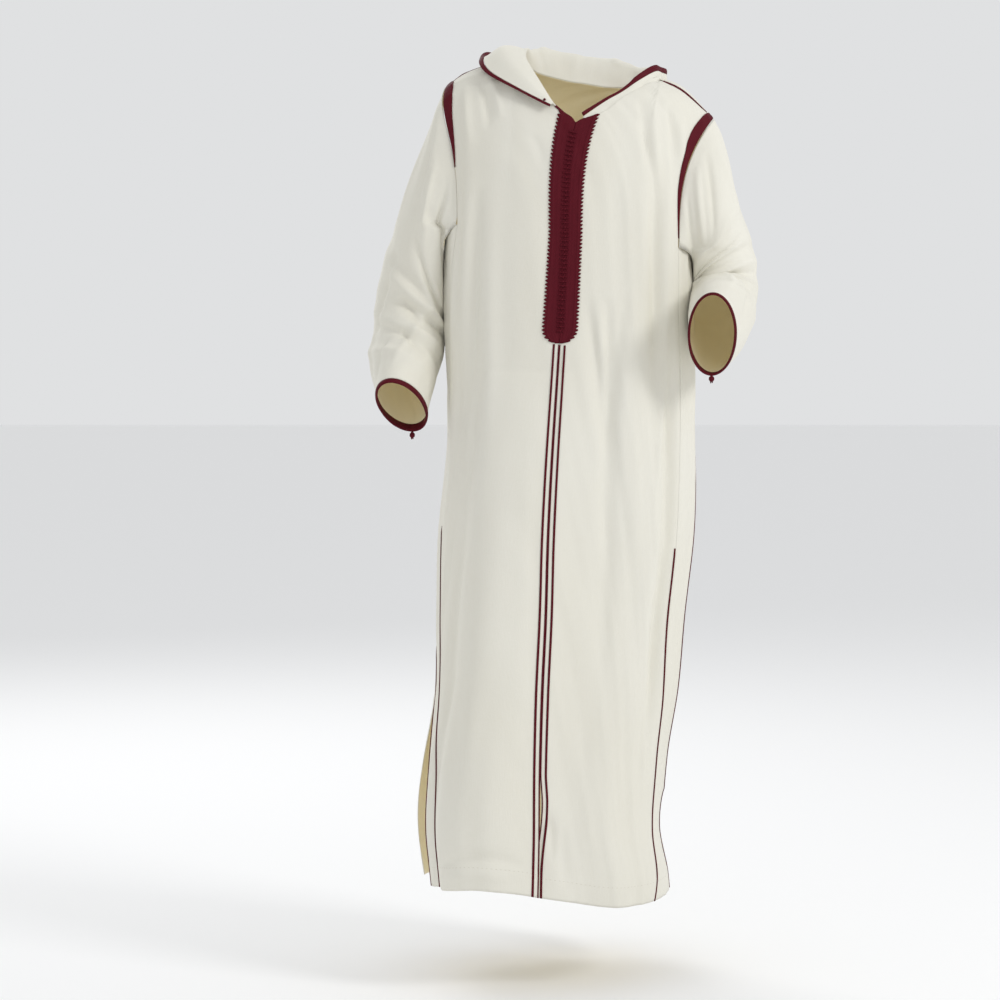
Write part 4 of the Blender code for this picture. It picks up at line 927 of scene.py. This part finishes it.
def ring_normals(points):
    """Normals of a grid whose rows are closed rings."""
    return normals_of(np.concatenate([points[:, -1:], points, points[:, :1]], axis=1))[:, 1:-1]


def sleeve_shape(table, bends, creases, side, turns, stations):
    """A sleeve as rings round the arm, eased from the armhole's own edge, then bent and creased."""
    turn, station = np.meshgrid(turns, stations)
    fade = (1 - ease(station / ARMHOLE_REACH))[..., None]
    start = sleeve_rings(table, turn, np.zeros_like(station))
    points = sleeve_rings(table, turn, station) + fade * (armhole(turn, side) - start)
    points[..., 0] += SEAM_GAP + SLEEVE_STEP * ease(station / 0.06)
    height = np.zeros_like(turn)
    for place, middle, spread, width, slant, rise in bends.rows:
        apart = (turn - middle + 180) % 360 - 180
        across = (station - place - slant * apart) / width
        height += rise * np.exp(-across * across - (apart / spread) ** 2)
    round_arm, down_arm = np.radians((turn + 180) % 360 - 180) * ARM_ROUND, station * ARM_LENGTH
    free = ease(station / 0.05) * ease((1 - station) / 0.05)
    height += SLEEVE_CREASE_DEPTH * crease_height(round_arm, down_arm, creases) * free
    sway, lift = 0.09 * np.sin(np.radians(turn)), 0.02 * np.cos(np.radians(turn))
    height += uneven_height(sway, down_arm + lift) * free
    points = points + ring_normals(points) * height[..., None]
    inner_side = np.exp(-((((turn % 360) - 180) / 62) ** 2))
    snug = inner_side * ease(station / 0.10) * ease((0.66 - station) / 0.12)
    return clear_of_body(points, side, snug) * (side, 1, 1)


def ring_texture(points):
    """Metres of cloth round each ring and along the rows, with one more column than the ring has points."""
    around = run_of(np.concatenate([points, points[:, :1]], axis=1), axis=1)
    down = np.cumsum(np.linalg.norm(np.diff(points, axis=0), axis=-1).mean(axis=1))
    down = np.concatenate([[0], down])[:, None] + np.zeros_like(around)
    return np.stack([around, down], axis=-1)


ARM_TURNS = 180 + np.arange(0, 360, 2.5)
ARM_STATIONS = np.concatenate([np.linspace(0, 0.06, 8)[:-1], np.linspace(0.06, 1, 116)])
sleeves = {}
for name, table, bends, creases, side in (
    ("left", LEFT_SLEEVE, LEFT_BENDS, LEFT_CREASES, 1),
    ("right", RIGHT_SLEEVE, RIGHT_BENDS, RIGHT_CREASES, -1),
):
    points = sleeve_shape(table, bends, creases, side, ARM_TURNS, ARM_STATIONS)
    if side < 0:
        points = points[:, ::-1]
    sleeves[name] = points
    texture = ring_texture(points)
    piece = wall(f"sleeve_{name}_cloth", points, CLOTH / 2, texture, cream, wraps=True, painted_inside=painted_inside)
    sewn(piece, f"sleeve_{name}")

# The hood: a deep pouch of the same wool, sewn round the neckline and let down behind the neck. On the right
# its front edge is folded out over the shoulder, and on the left it stands up along the neckline.
HOOD = Table("along crest_x crest_y crest_z foot_x foot_y foot_z rim_x rim_y rim_z", [
    (-1.00, -0.043, -0.105, -0.084, -0.045, -0.108, -0.083, -0.048, -0.111, -0.085),
    (-0.85, -0.065, -0.082, -0.046, -0.083, -0.099, -0.046, -0.101, -0.102, -0.057),
    (-0.70, -0.085, -0.036, -0.008, -0.116, -0.064, -0.006, -0.146, -0.073, -0.028),
    (-0.50, -0.086, 0.022, 0.016, -0.125, 0.014, 0.018, -0.156, -0.016, 0.002),
    (-0.25, -0.064, 0.082, 0.026, -0.108, 0.150, -0.120, -0.114, 0.122, 0.002),
    (0.00, 0.008, 0.102, 0.014, 0.010, 0.178, -0.350, 0.010, 0.180, -0.040),
    (0.25, 0.080, 0.086, 0.004, 0.124, 0.150, -0.150, 0.122, 0.126, -0.026),
    (0.40, 0.124, 0.050, -0.012, 0.150, 0.060, -0.048, 0.149, 0.045, -0.021),
    (0.45, 0.131, 0.027, -0.019, 0.1455, 0.029, -0.0370, 0.1400, 0.0175, -0.021),
    (0.50, 0.1365, 0.002, -0.0235, 0.1388, 0.000, -0.0358, 0.131, -0.0095, -0.021),
    (0.60, 0.1012, -0.0568, -0.0466, 0.0995, -0.0560, -0.0440, 0.0980, -0.0550, -0.041),
    (0.70, 0.0748, -0.0747, -0.0640, 0.0740, -0.0735, -0.0615, 0.0732, -0.0724, -0.059),
    (0.85, 0.0448, -0.0935, -0.0858, 0.0437, -0.0912, -0.0818, 0.0427, -0.0890, -0.0775),
    (1.00, 0.0045, -0.1062, -0.1065, 0.005, -0.106, -0.105, 0.0055, -0.106, -0.1035),
])
HOOD_KNOTS = np.array([0, 0.22, 0.62, 1])  # the share of the hood's depth at its seam, crest, foot and rim
NECK_CENTRE = np.array([0.015, -0.02, 0])
NECK_INWARD = 0.7
HOOD_END_LEFT = 3.0
HOOD_END_RIGHT = 11.6
# Creases of the hood, with x along its seam and z from the seam to the rim.
HOOD_CREASES = Table(CREASE, [
    (-0.120, 0.100, -0.020, 0.330, 0.012, 0.012, -0.0036, 0.3),
    (-0.080, 0.090, 0.000, 0.300, 0.008, 0.011, 0.0028, 0.0),
    (0.110, 0.100, 0.026, 0.330, -0.012, 0.012, -0.0036, -0.3),
    (0.070, 0.090, 0.012, 0.290, -0.008, 0.010, 0.0026, 0.0),
    (-0.140, 0.180, -0.050, 0.360, 0.010, 0.010, 0.0026, 0.0),
    (0.130, 0.170, 0.060, 0.340, -0.010, 0.010, 0.0026, 0.0),
    (0.000, 0.120, 0.008, 0.260, 0.006, 0.012, -0.0022, 0.2),
    (-0.030, 0.420, -0.020, 0.600, 0.004, 0.012, -0.0024, 0.2),
    (0.040, 0.430, 0.030, 0.600, -0.004, 0.012, -0.0024, 0.0),
    (0.004, 0.450, 0.006, 0.640, 0.003, 0.010, 0.0020, 0.0),
    (-0.090, 0.440, -0.060, 0.590, 0.005, 0.010, 0.0018, 0.0),
    (0.090, 0.440, 0.070, 0.590, 0.005, 0.010, 0.0018, 0.0),
])
HOOD_WIDTH = 0.30
HOOD_DEPTH = 0.68
HOOD_SEAM_GAP = 0.0001
HOOD_CREASE_DEPTH = 1.5
HOOD_PINCH = 0.548  # where the hood's layers come together, at the left shoulder
HOOD_PINCH_WIDTH = 0.032


def neck_seam():
    """The smooth neckline from its right end to its left one, and its places from -1 to 1."""
    steps = np.linspace(0, 1, 90)
    right = blend(-HOOD_END_RIGHT, -NECK_RIGHT, steps)
    middle = blend(behind(-NECK_RIGHT), behind(NECK_LEFT), np.linspace(0, 1, 160))[1:-1]
    left = blend(NECK_LEFT, HOOD_END_LEFT, steps)
    width = np.where(middle < BACK_MIDDLE, NECK_LEFT, NECK_RIGHT) / FRONT_SEAM * (BACK_MIDDLE - BACK_SEAM)
    places = np.concatenate([
        -0.5 - 0.5 * (right + NECK_RIGHT) / (NECK_RIGHT - HOOD_END_RIGHT),
        0.5 * (BACK_MIDDLE - middle) / width,
        0.5 + 0.5 * (NECK_LEFT - left) / (NECK_LEFT - HOOD_END_LEFT),
    ])
    points = [panel.at(turns, RISES[-1], 0.0) for panel, turns in
              ((front_right, right), (back, middle), (front_left, left))]
    return places, np.concatenate(points)


def neck_edge(along):
    """The edge that the hood is sewn to, and the way up and inward from it, square to the edge."""
    places, points = neck_seam()
    edge = np.stack([np.interp(along, places, points[:, k]) for k in range(3)], axis=-1)
    inward = unit((NECK_CENTRE - edge) * (1, 1, 0)) * NECK_INWARD + (0, 0, 1)
    tangent = unit(np.gradient(edge, axis=0))
    return edge, unit(inward - tangent * (inward * tangent).sum(-1, keepdims=True))


def hood_shape(alongs, depths):
    """The hood as a grid: each column is a smooth curve from the neck seam over its crest, down to its foot
    and up to the rim."""
    edge, way = neck_edge(alongs)
    knots = [edge + way * HOOD_SEAM_GAP]
    for name in ("crest", "foot", "rim"):
        knots.append(np.stack([HOOD.at(f"{name}_{axis}", alongs) for axis in "xyz"], axis=-1))
    values = np.stack(knots)
    columns = []
    for k in range(3):
        line = [Table("depth value", np.stack([HOOD_KNOTS, values[:, j, k]], axis=-1)).at("value", depths)
                for j in range(len(alongs))]
        columns.append(np.stack(line, axis=-1))
    return np.stack(columns, axis=-1)


HOOD_ALONG = np.linspace(-1, 1, 170)
HOOD_DEPTHS = np.linspace(0, 1, 96)
hood = hood_shape(HOOD_ALONG, HOOD_DEPTHS)
straight = blend(hood[:1], hood[-1:], HOOD_DEPTHS[:, None, None])
pinched = np.exp(-(((HOOD_ALONG - HOOD_PINCH) / HOOD_PINCH_WIDTH) ** 2))
hood = blend(hood, straight, pinched[:, None])
hood_along, hood_deep = np.meshgrid(HOOD_ALONG, HOOD_DEPTHS)
loose = ease((0.48 - np.abs(hood_along)) / 0.16) * ease(hood_deep / 0.10) * ease((1 - hood_deep) / 0.08)
folds = crease_height(hood_along * HOOD_WIDTH, hood_deep * HOOD_DEPTH, HOOD_CREASES)
folds += uneven_height(hood_along * HOOD_WIDTH, hood_deep * HOOD_DEPTH)
hood = hood + normals_of(hood) * (HOOD_CREASE_DEPTH * folds * loose)[..., None]
hood_texture = np.stack([hood_along * HOOD_WIDTH, run_of(hood)], axis=-1)
hood_piece = sewn(wall("hood_cloth", hood, CLOTH / 2, hood_texture, cream), "hood")

# The braid along the hood's rim: a narrow braid of burgundy silk, woven in ribs and rounded across. It is
# sewn edge to edge with the cloth, all the way from one end of the neckline to the other.
BRAID = 0.0016
RIM_GAP = 0.0006
RIM_EDGE = 0.0003
RIM_BULGE = 0.0012
RIM_BRAID = Table("along width", [
    (-1.0, 0.0045), (-0.85, 0.0040), (-0.70, 0.0065), (-0.55, 0.0085), (0.0, 0.0080), (0.45, 0.0090),
    (0.52, 0.0105), (0.60, 0.0085), (0.70, 0.0048), (0.85, 0.0050), (1.0, 0.0065),
])
# The silk's colour in the hollows of its relief, darker as painted shade, and on its ribs.
SILK_PAINTED_SHADE = (0.030, 0.0016, 0.0040)
SILK = (0.125, 0.0070, 0.0160)


def silk(name, rib, stitch):
    """Burgundy silk braid: ribs as the size of a sine across it, each crossed by a sine of slanting stitches
    that turn about from rib to rib, and worn by noise. The colour follows that relief, with painted shade in
    its hollows, and the noise adds wear."""
    made = Finish(name, {"Roughness": 0.66, "Specular IOR Level": 0.12})
    across, along = made.cloth_place()
    wave = (across * (math.pi / rib)).sine()
    stitches = (along * (2 * math.pi / stitch) + wave * 0.9).sine() * 0.5 + 0.5
    worn = made.noise(across * 120, along * 60, 3)
    relief_and_shade = wave.size() ** 0.6 * 0.55 + stitches * 0.35 + worn * 0.25
    made.colour(made.mix(relief_and_shade, SILK_PAINTED_SHADE, SILK))
    made.bump(relief_and_shade, 0.0005, 0.8)
    return made.made


braid_silk = silk("burgundy_braid", 0.0026, 0.0021)
cord_silk = silk("burgundy_cord", 0.0017, 0.0026)


def strip_texture(points):
    """Metres of braid across a strip, from its middle, and along it."""
    across = run_of(points, axis=1)
    along = run_of(points[:, points.shape[1] // 2])
    return np.stack([across - across[:, -1:] / 2, along[:, None] + np.zeros_like(across)], axis=-1)


def round_profile(count):
    """Places from -1 to 1 across a strip, the sines of even steps of angle, and a half round's heights
    there, the cosines."""
    angle = np.linspace(-math.pi / 2, math.pi / 2, count)
    return np.sin(angle), np.cos(angle)


rim_line = unit(np.gradient(hood[-1], axis=0))
rim_way = hood[-1] - hood[-4]
rim_way = unit(rim_way - rim_line * (rim_way * rim_line).sum(-1, keepdims=True))
places, bulge = round_profile(9)
reach = RIM_GAP + RIM_BRAID.at("width", HOOD_ALONG) * (places[:, None] + 1) / 2
rim = hood[-1] + rim_way * reach[..., None]
half = RIM_EDGE + RIM_BULGE * bulge[:, None]
rim_texture = strip_texture(rim.swapaxes(0, 1)).swapaxes(0, 1)
rim_piece = sewn(wall("hood_braid_silk", rim, half, rim_texture, braid_silk), "hood_braid")

# The piping of the neckline: a strip of the silk folded over the raw edge of the wool, between the two
# ends of the hood and down to the point of the V, and sewn through from the front.
PIPING_TURNS = np.linspace(-12.6, 3.6, 46)
PIPING_HALF = 0.0005
PIPING_FOOT = 1.97  # a rise just below the edge, to tell which way is up along the cloth
PIPING = np.array([
    (0.0016, -0.0036), (0.0020, -0.0016), (0.0016, 0.0004), (0.0000, 0.0013),
    (-0.0016, 0.0004), (-0.0020, -0.0016), (-0.0016, -0.0036),
])  # its section, out from the cloth and up from the edge


def front_at(turn, rise, out):
    """The point on whichever front panel a turn is on."""
    left = front_left.at(np.maximum(turn, SEAM_TURN), rise, out)
    right = front_right.at(np.minimum(turn, -SEAM_TURN), rise, out)
    return np.where((turn > 0)[..., None], left, right)


neckline = front_at(PIPING_TURNS, RISES[-1], 0.0)
piping_up = unit(neckline - front_at(PIPING_TURNS, PIPING_FOOT, 0.0))
piping_out = unit(front_at(PIPING_TURNS, RISES[-1], 0.001) - neckline)
piping = neckline + piping_out * PIPING[:, 0, None, None] + piping_up * PIPING[:, 1, None, None]
piping_texture = strip_texture(piping.swapaxes(0, 1)).swapaxes(0, 1)
sewn(wall("neck_piping", piping, PIPING_HALF, piping_texture, cord_silk))

# The braid of the front opening: a wide silk braid on each edge, round at the foot and a little wider at the
# neck, with small rounded teeth along its outer side. It is sewn flat on the wool.
METRES_PER_TURN = 0.0033
PLACKET_FOOT_Z = -0.474
PLACKET_WIDTH = 0.0285
PLACKET_FLARE = 0.006
TEETH = 61
TOOTH = 0.0046
TOOTH_STEPS = 8
TOOTH_HALVES = [0.0007, 0.0006, 0.0005, 0.0003]  # half the thickness of a tooth, out to its tip
LAID_GAP = 0.0003
LAID_BRAID = CLOTH / 2 + LAID_GAP + BRAID / 2
EDGE_GAP = 0.0004
# The raised ribs of the braid: each one's place across, its width and its height.
PLACKET_RIBS = ((0.05, 0.05, 0.0010), (0.30, 0.03, 0.0004), (0.52, 0.03, 0.0004), (0.88, 0.055, 0.0011))


def placket_rise(turn, share):
    """Rows from the braid's foot up to the neckline, even in height, so level at the foot and along the V at
    the top."""
    top = body_shape(turn, 2.0)[..., 2]
    return rise_of(turn, blend(PLACKET_FOOT_Z, top, share) - 1e-4)


def placket_width(share):
    """The braid's width: round at the foot, straight, and wider towards the neck."""
    height = share * (body_shape(6.0, 2.0)[..., 2] - PLACKET_FOOT_Z)
    body = PLACKET_WIDTH - TOOTH + PLACKET_FLARE * share**4
    foot = np.clip(1 - height / body, 0, 1)
    return np.maximum(body * np.sqrt(1 - foot * foot), 0.006)


steps = np.arange(TOOTH_STEPS * TEETH + 1) / (TOOTH_STEPS * TEETH)
tooth = EDGE_GAP + TOOTH * np.abs(np.sin(math.pi * TEETH * steps)) ** 1.2
on_braid, on_tooth = np.linspace(0, 1, 22), np.array([0.3, 0.6, 0.85, 1.0])
for name, panel, side in (("left", front_left, 1), ("right", front_right, -1)):
    width = placket_width(steps)[:, None]
    across = np.hstack([EDGE_GAP + (width - EDGE_GAP) * on_braid, width + tooth[:, None] * on_tooth])
    ribbed = sum(high * np.exp(-(((on_braid - place) / wide) ** 2)) for place, wide, high in PLACKET_RIBS)
    lobes = 0.0007 * np.sqrt(1 - on_tooth**2) * (tooth[:, None] / TOOTH)
    raised = np.hstack([np.broadcast_to(ribbed, (len(steps), len(on_braid))), lobes])
    half = np.concatenate([np.full(len(on_braid), BRAID / 2), TOOTH_HALVES])
    half = np.broadcast_to(half, raised.shape)
    turn = side * across / METRES_PER_TURN
    rise = placket_rise(turn, steps[:, None])
    if side < 0:
        turn, rise, raised, half = turn[:, ::-1], rise[:, ::-1], raised[:, ::-1], half[:, ::-1]
    points = panel.at(turn, rise, np.full_like(rise, LAID_BRAID))
    piece = wall(f"placket_{name}_silk", points, half, strip_texture(points), braid_silk, raised=raised)
    sewn(piece, f"placket_{name}")

# The closing knots: forty-five small balls of tied silk cord down the middle of the braid, each between the
# two sides of a loop of the same cord. Balls and loops are sewn on by their stems.
KNOTS = 45
LOWEST_KNOT = 0.045  # the share of the braid's length below the row of knots
KNOT_ROW = 0.92
# A knot's parts: how far each lies across, out and up from its place, and half its size in those ways.
KNOT_PARTS = (
    ((0, 0.0016, 0), (0.0021, 0.0021, 0.0021)),
    ((-0.0030, 0.0012, 0), (0.0022, 0.0013, 0.0013)),
    ((0.0030, 0.0012, 0), (0.0022, 0.0013, 0.0013)),
    ((-0.0054, 0.0010, 0), (0.0013, 0.0017, 0.0026)),
    ((0.0054, 0.0010, 0), (0.0013, 0.0017, 0.0026)),
)


def round_form(detail):
    """The points and faces of a ball of radius 1: 20 triangles, each split in four detail - 1 times."""
    made = bmesh.new()
    bmesh.ops.create_icosphere(made, subdivisions=detail, radius=1.0)
    points = np.array([corner.co for corner in made.verts])
    faces = np.array([[corner.index for corner in face.verts] for face in made.faces])
    made.free()
    return points, faces


def beads(name, places, frames, parts, finish, detail=2):
    """One mesh of many rounded forms: at every place, each part is a ball stretched to its size and moved by
    its offset along the place's own ways across, out and up."""
    form, faces = round_form(detail)
    offsets, sizes = (np.array([part[k] for part in parts], float) for k in (0, 1))
    balls = form[None] * sizes[:, None]
    local = balls + offsets[:, None]
    points = places[:, None, None] + np.einsum("pnk,qkd->qpnd", local, frames)
    count = len(places) * len(parts)
    corners = (faces[None] + (np.arange(count) * len(form))[:, None, None]).reshape(-1, 3)
    flat = np.broadcast_to(balls[..., [0, 2]], (len(places), *balls.shape[:2], 2))
    return add_piece(name, points.reshape(-1, 3), corners, flat.reshape(-1, 2)[corners], finish)


knot_share = LOWEST_KNOT + KNOT_ROW * (np.arange(KNOTS) + 0.5) / KNOTS
knot_rise = placket_rise(np.full(KNOTS, SEAM_TURN), knot_share)
knot_base = CLOTH / 2 + LAID_GAP + BRAID + EDGE_GAP


def seam_line(rise, out):
    """Points in the middle of the front seam, and the ways across, out and up there."""
    centre = (front_left.at(SEAM_TURN, rise, out) + front_right.at(-SEAM_TURN, rise, out)) / 2
    raised = (front_left.at(SEAM_TURN, rise, out + 0.01) + front_right.at(-SEAM_TURN, rise, out + 0.01)) / 2
    outward = unit(raised - centre)
    up = unit(np.gradient(centre, axis=0))
    return centre, np.stack([np.cross(up, outward), outward, up], axis=1)


knot_places, knot_ways = seam_line(knot_rise, np.full(KNOTS, knot_base))
knots = beads("closing_knots_silk", knot_places, knot_ways, KNOT_PARTS, cord_silk)
sewn(knots, "closing_knots")

# The cords down the front: round silk cords sewn flat on the wool, from the braid's foot to the hem.
# There is a fine one on each edge of the seam, which touch each other, and a thicker one a little way off
# on each side.
CORD = 0.0034
EDGE_CORD = 0.0019
EDGE_CORD_GAP = 0.0002
CORD_SPACING = 0.0090
CORD_HIGH = 0.0011
CORD_HALF = 0.0003
CORD_TUCK = 0.012  # how much of a cord's upper end is tucked in
cord_places, cord_bulge = round_profile(7)
FRONT_CORD_ROWS = 420
HEM_RISE = 1e-6  # just above the hem's edge


def metres_per_turn(side, z):
    """The width of one turn on the front at a height: the arc from the front seam to the side seam, shared
    evenly among the turns."""
    middle = np.arcsin((BODY.at("seam_x", z) - BODY.at("centre_x", z)) / BODY.at("half_width", z))
    seam = np.radians(SEAMS.at("front_left" if side > 0 else "front_right", z))
    return BODY.at("half_width", z) * np.abs(seam - middle) / FRONT_SEAM


def cord(name, panel, turn, rise):
    """A round cord laid on a panel, thinner at its upper end where it is tucked in."""
    if turn[0, -1] < turn[0, 0]:
        turn = turn[:, ::-1]
    points = panel.at(turn, rise, np.full_like(turn, CLOTH / 2 + LAID_GAP + CORD_HALF))
    texture = strip_texture(points)
    tucked = ease((texture[-1:, :, 1] - texture[..., 1]) / CORD_TUCK)
    raised = CORD_HIGH * cord_bulge * tucked
    sewn(wall(f"{name}_silk", points, CORD_HALF, texture, cord_silk, raised=raised), name)


cord_rises = np.linspace(HEM_RISE, rise_of(0.0, PLACKET_FOOT_Z - 0.0025), FRONT_CORD_ROWS)
for name, panel, side in (("left", front_left, 1), ("right", front_right, -1)):
    for place, start, width in (("edge", EDGE_CORD_GAP, EDGE_CORD), ("outer", CORD_SPACING - CORD / 2, CORD)):
        z = panel.at(side * 1.0, cord_rises, 0.0)[:, 2]
        turn = side * (start + width * (cord_places + 1) / 2) / metres_per_turn(side, z)[:, None]
        rise = np.repeat(cord_rises[:, None], len(cord_places), axis=1)
        cord(f"front_cord_{place}_{name}", panel, turn, rise)

# The cords of the gores: the same silk cord, sewn along the seams from the hem up, on the front's edge and on
# the gore's rear edge. The front pair ends below the waist, and the rear pair a little higher.
SIDE_CORD_TOP = 0.54
BACK_CORD_TOP = 0.70
SIDE_CORD_ROWS = 230
BACK_CORD_ROWS = 300
BACK_CORD_TURNS = 1.0
for name, front, gore, side in (("left", front_left, gore_left, 1), ("right", front_right, gore_right, -1)):
    width = CORD / METRES_PER_TURN
    turns = side * (FRONT_SEAM - 0.15 - width * (1 - cord_places) / 2)
    turn, rise = np.meshgrid(turns, np.linspace(HEM_RISE, SIDE_CORD_TOP, SIDE_CORD_ROWS))
    cord(f"gore_cord_front_{name}", front, turn, rise)
    turns = side * (BACK_SEAM - 0.2 - BACK_CORD_TURNS * (1 - cord_places) / 2)
    turn, rise = np.meshgrid(turns, np.linspace(HEM_RISE, BACK_CORD_TOP, BACK_CORD_ROWS))
    cord(f"gore_cord_back_{name}", gore, turn, rise)

# The braid at each armhole: a strip of the silk braid sewn over the seam of the sleeve, widest on the
# chest and drawn to a point before the underarm, in front and behind.
ARMHOLE_BRAID = 4.9  # its greatest width, in turns
ARMHOLE_EDGE = 0.35
ARMHOLE_FOOT = 1.02  # the rise at which its points end, but for the right front's
ARMHOLE_FOOT_RIGHT = 1.20
ARMHOLE_HALF = 0.0004
ARMHOLE_BULGE = 0.0005
ARMHOLE_HIGH = 0.0004
LEFT_TAPER = Table("share width", [(0, 0.50), (0.25, 0.80), (0.5, 1.0), (0.75, 0.8), (0.9, 0.42), (1, 0.05)])
RIGHT_TAPER = Table("share width", [
    (0, 0.62), (0.3, 1.0), (0.55, 0.95), (0.8, 0.62), (0.92, 0.34), (1, 0.05),
])
armhole_places, armhole_bulge = round_profile(11)
for name, front, side, taper, foot, area in (
    ("left", front_left, 1, LEFT_TAPER, ARMHOLE_FOOT, 0.0061),
    ("right", front_right, -1, RIGHT_TAPER, ARMHOLE_FOOT_RIGHT, 0.0052),
):
    share = np.linspace(1, 0, 80)
    width = ARMHOLE_BRAID * taper.at("width", share)[:, None]
    edge = ARMHOLE_EDGE + width * (armhole_places + 1) / 2
    rise = blend(TOP_RISE, foot, share)[:, None] + np.zeros_like(edge)
    fore = front.at(side * (FRONT_SEAM - edge), rise, np.full_like(edge, LAID_BRAID))
    start = BACK_SEAM if side > 0 else 360 - BACK_SEAM
    rise = blend(TOP_RISE, ARMHOLE_FOOT, share)[:, None] + np.zeros_like(edge)
    aft = back.at(start + side * edge, rise, np.full_like(edge, LAID_BRAID))
    points = np.concatenate([fore, aft[::-1][1:]])
    if side > 0:
        points = points[:, ::-1]
    half = np.broadcast_to(ARMHOLE_HALF + ARMHOLE_BULGE * armhole_bulge, points.shape[:2])
    raised = np.broadcast_to(ARMHOLE_HIGH * armhole_bulge, points.shape[:2])
    piece = wall(f"armhole_braid_{name}_silk", points, half, strip_texture(points), braid_silk, raised=raised)
    sewn(piece, f"armhole_braid_{name}")

# The cord along each shoulder seam: one length of the silk cord sewn over the seam, from the neck to the
# armhole's braid. It hides the stitching between the front and the back.
LIFT_LEFT = 0.0022
LIFT_RIGHT = 0.0019
SHOULDER_CORD_HALF = 0.0004
SHOULDER_CORD_HIGH = 0.0008
SHOULDER_CORD_RISES = [1.9915, 1.9945, 1.9972]  # its rows on each side of the seam
SHOULDER_CORD_MIDDLE = 1.9999
for name, front, side, neck, lift in (
    ("left", front_left, 1, NECK_LEFT, LIFT_LEFT),
    ("right", front_right, -1, NECK_RIGHT, LIFT_RIGHT),
):
    turns = np.sort(side * np.linspace(neck + 1.5, FRONT_SEAM - ARMHOLE_BRAID * 0.5 - 0.8, 60))
    turn, rise = np.meshgrid(turns, [*SHOULDER_CORD_RISES, SHOULDER_CORD_MIDDLE])
    fore = front.at(turn, rise, np.zeros_like(turn))
    turn, rise = np.meshgrid(behind(turns) % 360, SHOULDER_CORD_RISES[::-1])
    aft = back.at(turn, rise, np.zeros_like(turn))
    points = np.concatenate([fore, aft]) + (0, 0, lift)
    raised = SHOULDER_CORD_HIGH * cord_bulge[:, None] + np.zeros(points.shape[:2])
    texture = strip_texture(points.swapaxes(0, 1)).swapaxes(0, 1)
    piece = wall(f"shoulder_cord_{name}_silk", points, SHOULDER_CORD_HALF, texture, cord_silk, raised=raised)
    sewn(piece, f"shoulder_cord_{name}")

# The cuffs: each is bound with the narrow silk braid, folded over the edge and sewn through, and stays
# open. A single knot of cord hangs by its stem from the lowest point of the binding.
CUFF_BRAID_HALF = 0.0004
CUFF_KNOT = 0.0048
CUFF_KNOT_DROP = 0.0015
# The knot's parts, as in the closing knots: the ball, its stem, and the two ends of its cord.
KNOT_FORM = (
    ((0, 0, 0), (0.0048, 0.0044, 0.0050)),
    ((0, 0, 0.0046), (0.0022, 0.0022, 0.0026)),
    ((0.0012, -0.0012, -0.0048), (0.0012, 0.0012, 0.0022)),
    ((-0.0012, 0.0010, -0.0050), (0.0011, 0.0011, 0.0026)),
)
CUFF_SECTION = np.array([
    (0.0012, 0.0000), (0.0017, 0.0022), (0.0017, 0.0050), (0.0011, 0.0074), (0.0000, 0.0081),
    (-0.0011, 0.0074), (-0.0017, 0.0050), (-0.0017, 0.0010), (-0.0016, -0.0040), (-0.0014, -0.0070),
])  # out from the cloth and along the arm from its end
for name, points in sleeves.items():
    way = unit(points[-1] - points[-3])
    out = ring_normals(points)[-1]
    ring = points[-1] + out * CUFF_SECTION[:, 0, None, None] + way * CUFF_SECTION[:, 1, None, None]
    texture = ring_texture(ring)[..., ::-1]
    piece = wall(f"cuff_braid_{name}_silk", ring, CUFF_BRAID_HALF, texture, braid_silk, wraps=True)
    sewn(piece, f"cuff_braid_{name}")
    fold = ring[4]
    lowest = fold[np.argmin(fold[:, 2])] - (0, 0, CUFF_KNOT + CUFF_KNOT_DROP)
    knot = beads(f"cuff_knot_{name}_silk", lowest[None], np.eye(3)[None], KNOT_FORM, cord_silk)
    sewn(knot, f"cuff_knot_{name}")

# The hood's bead: one small ball of silk near the foot of the folded edge of the hood, above its braid. It is
# sewn to the wool by a single stitch.
BEAD_AT = (-0.0575, -0.0784)
BEAD = (((0, 0, 0), (0.0022, 0.0018, 0.0022)),)
lapel = hood[:, HOOD_ALONG < -0.8]
nearest = np.argmin(((lapel[..., [0, 2]] - BEAD_AT) ** 2).sum(-1))
bead_place = lapel.reshape(-1, 3)[nearest] + (0, -0.002, 0)
sewn(beads("hood_bead", bead_place[None], np.eye(3)[None], BEAD, cord_silk))

# The hem's sewing: one row of running stitches in a cotton thread of the wool's own colour. It holds the edge
# that is turned up inside, and shows outside as short level dashes.
STITCH_STEP = 0.0075
STITCH_BELOW = 0.003  # how far the row lies below the top of the turning
STITCH = (((0, 0, 0), (0.0018, 0.0003, 0.0004)),)
THREAD = (0.72, 0.68, 0.57)
THREAD_DEEP = (0.55, 0.51, 0.42)


def plain_thread():
    """Cream sewing thread: two close tones mixed by fine noise."""
    made = Finish("sewing_thread", {"Roughness": 0.7})
    across, along = made.cloth_place()
    made.colour(made.mix(made.noise(across * 900, along * 900), THREAD_DEEP, THREAD))
    return made.made


thread = plain_thread()
stitch_points, stitch_ways = [], []
for panel in (front_left, front_right, back, gore_left, gore_right):
    middle = panel.along[:, panel.along.shape[1] // 2]
    row = np.argmin(np.abs(middle - (HEM_TURNING - STITCH_BELOW)))
    line, normals = panel.points[row], panel.normals[row]
    length = run_of(line)
    spots = np.arange(STITCH_STEP / 2, length[-1] - STITCH_STEP / 2, STITCH_STEP)
    centre, out = (np.stack([np.interp(spots, length, grid[:, k]) for k in range(3)], axis=-1)
                   for grid in (line, normals))
    across = unit(np.gradient(centre, axis=0))
    stitch_points.append(centre + out * (CLOTH / 2 + HEM_LAYER * 0.5))
    stitch_ways.append(np.stack([across, out, np.cross(across, out)], axis=1))
stitch_points, stitch_ways = np.concatenate(stitch_points), np.concatenate(stitch_ways)
sewn(beads("hem_stitches", stitch_points, stitch_ways, STITCH, thread, detail=1))
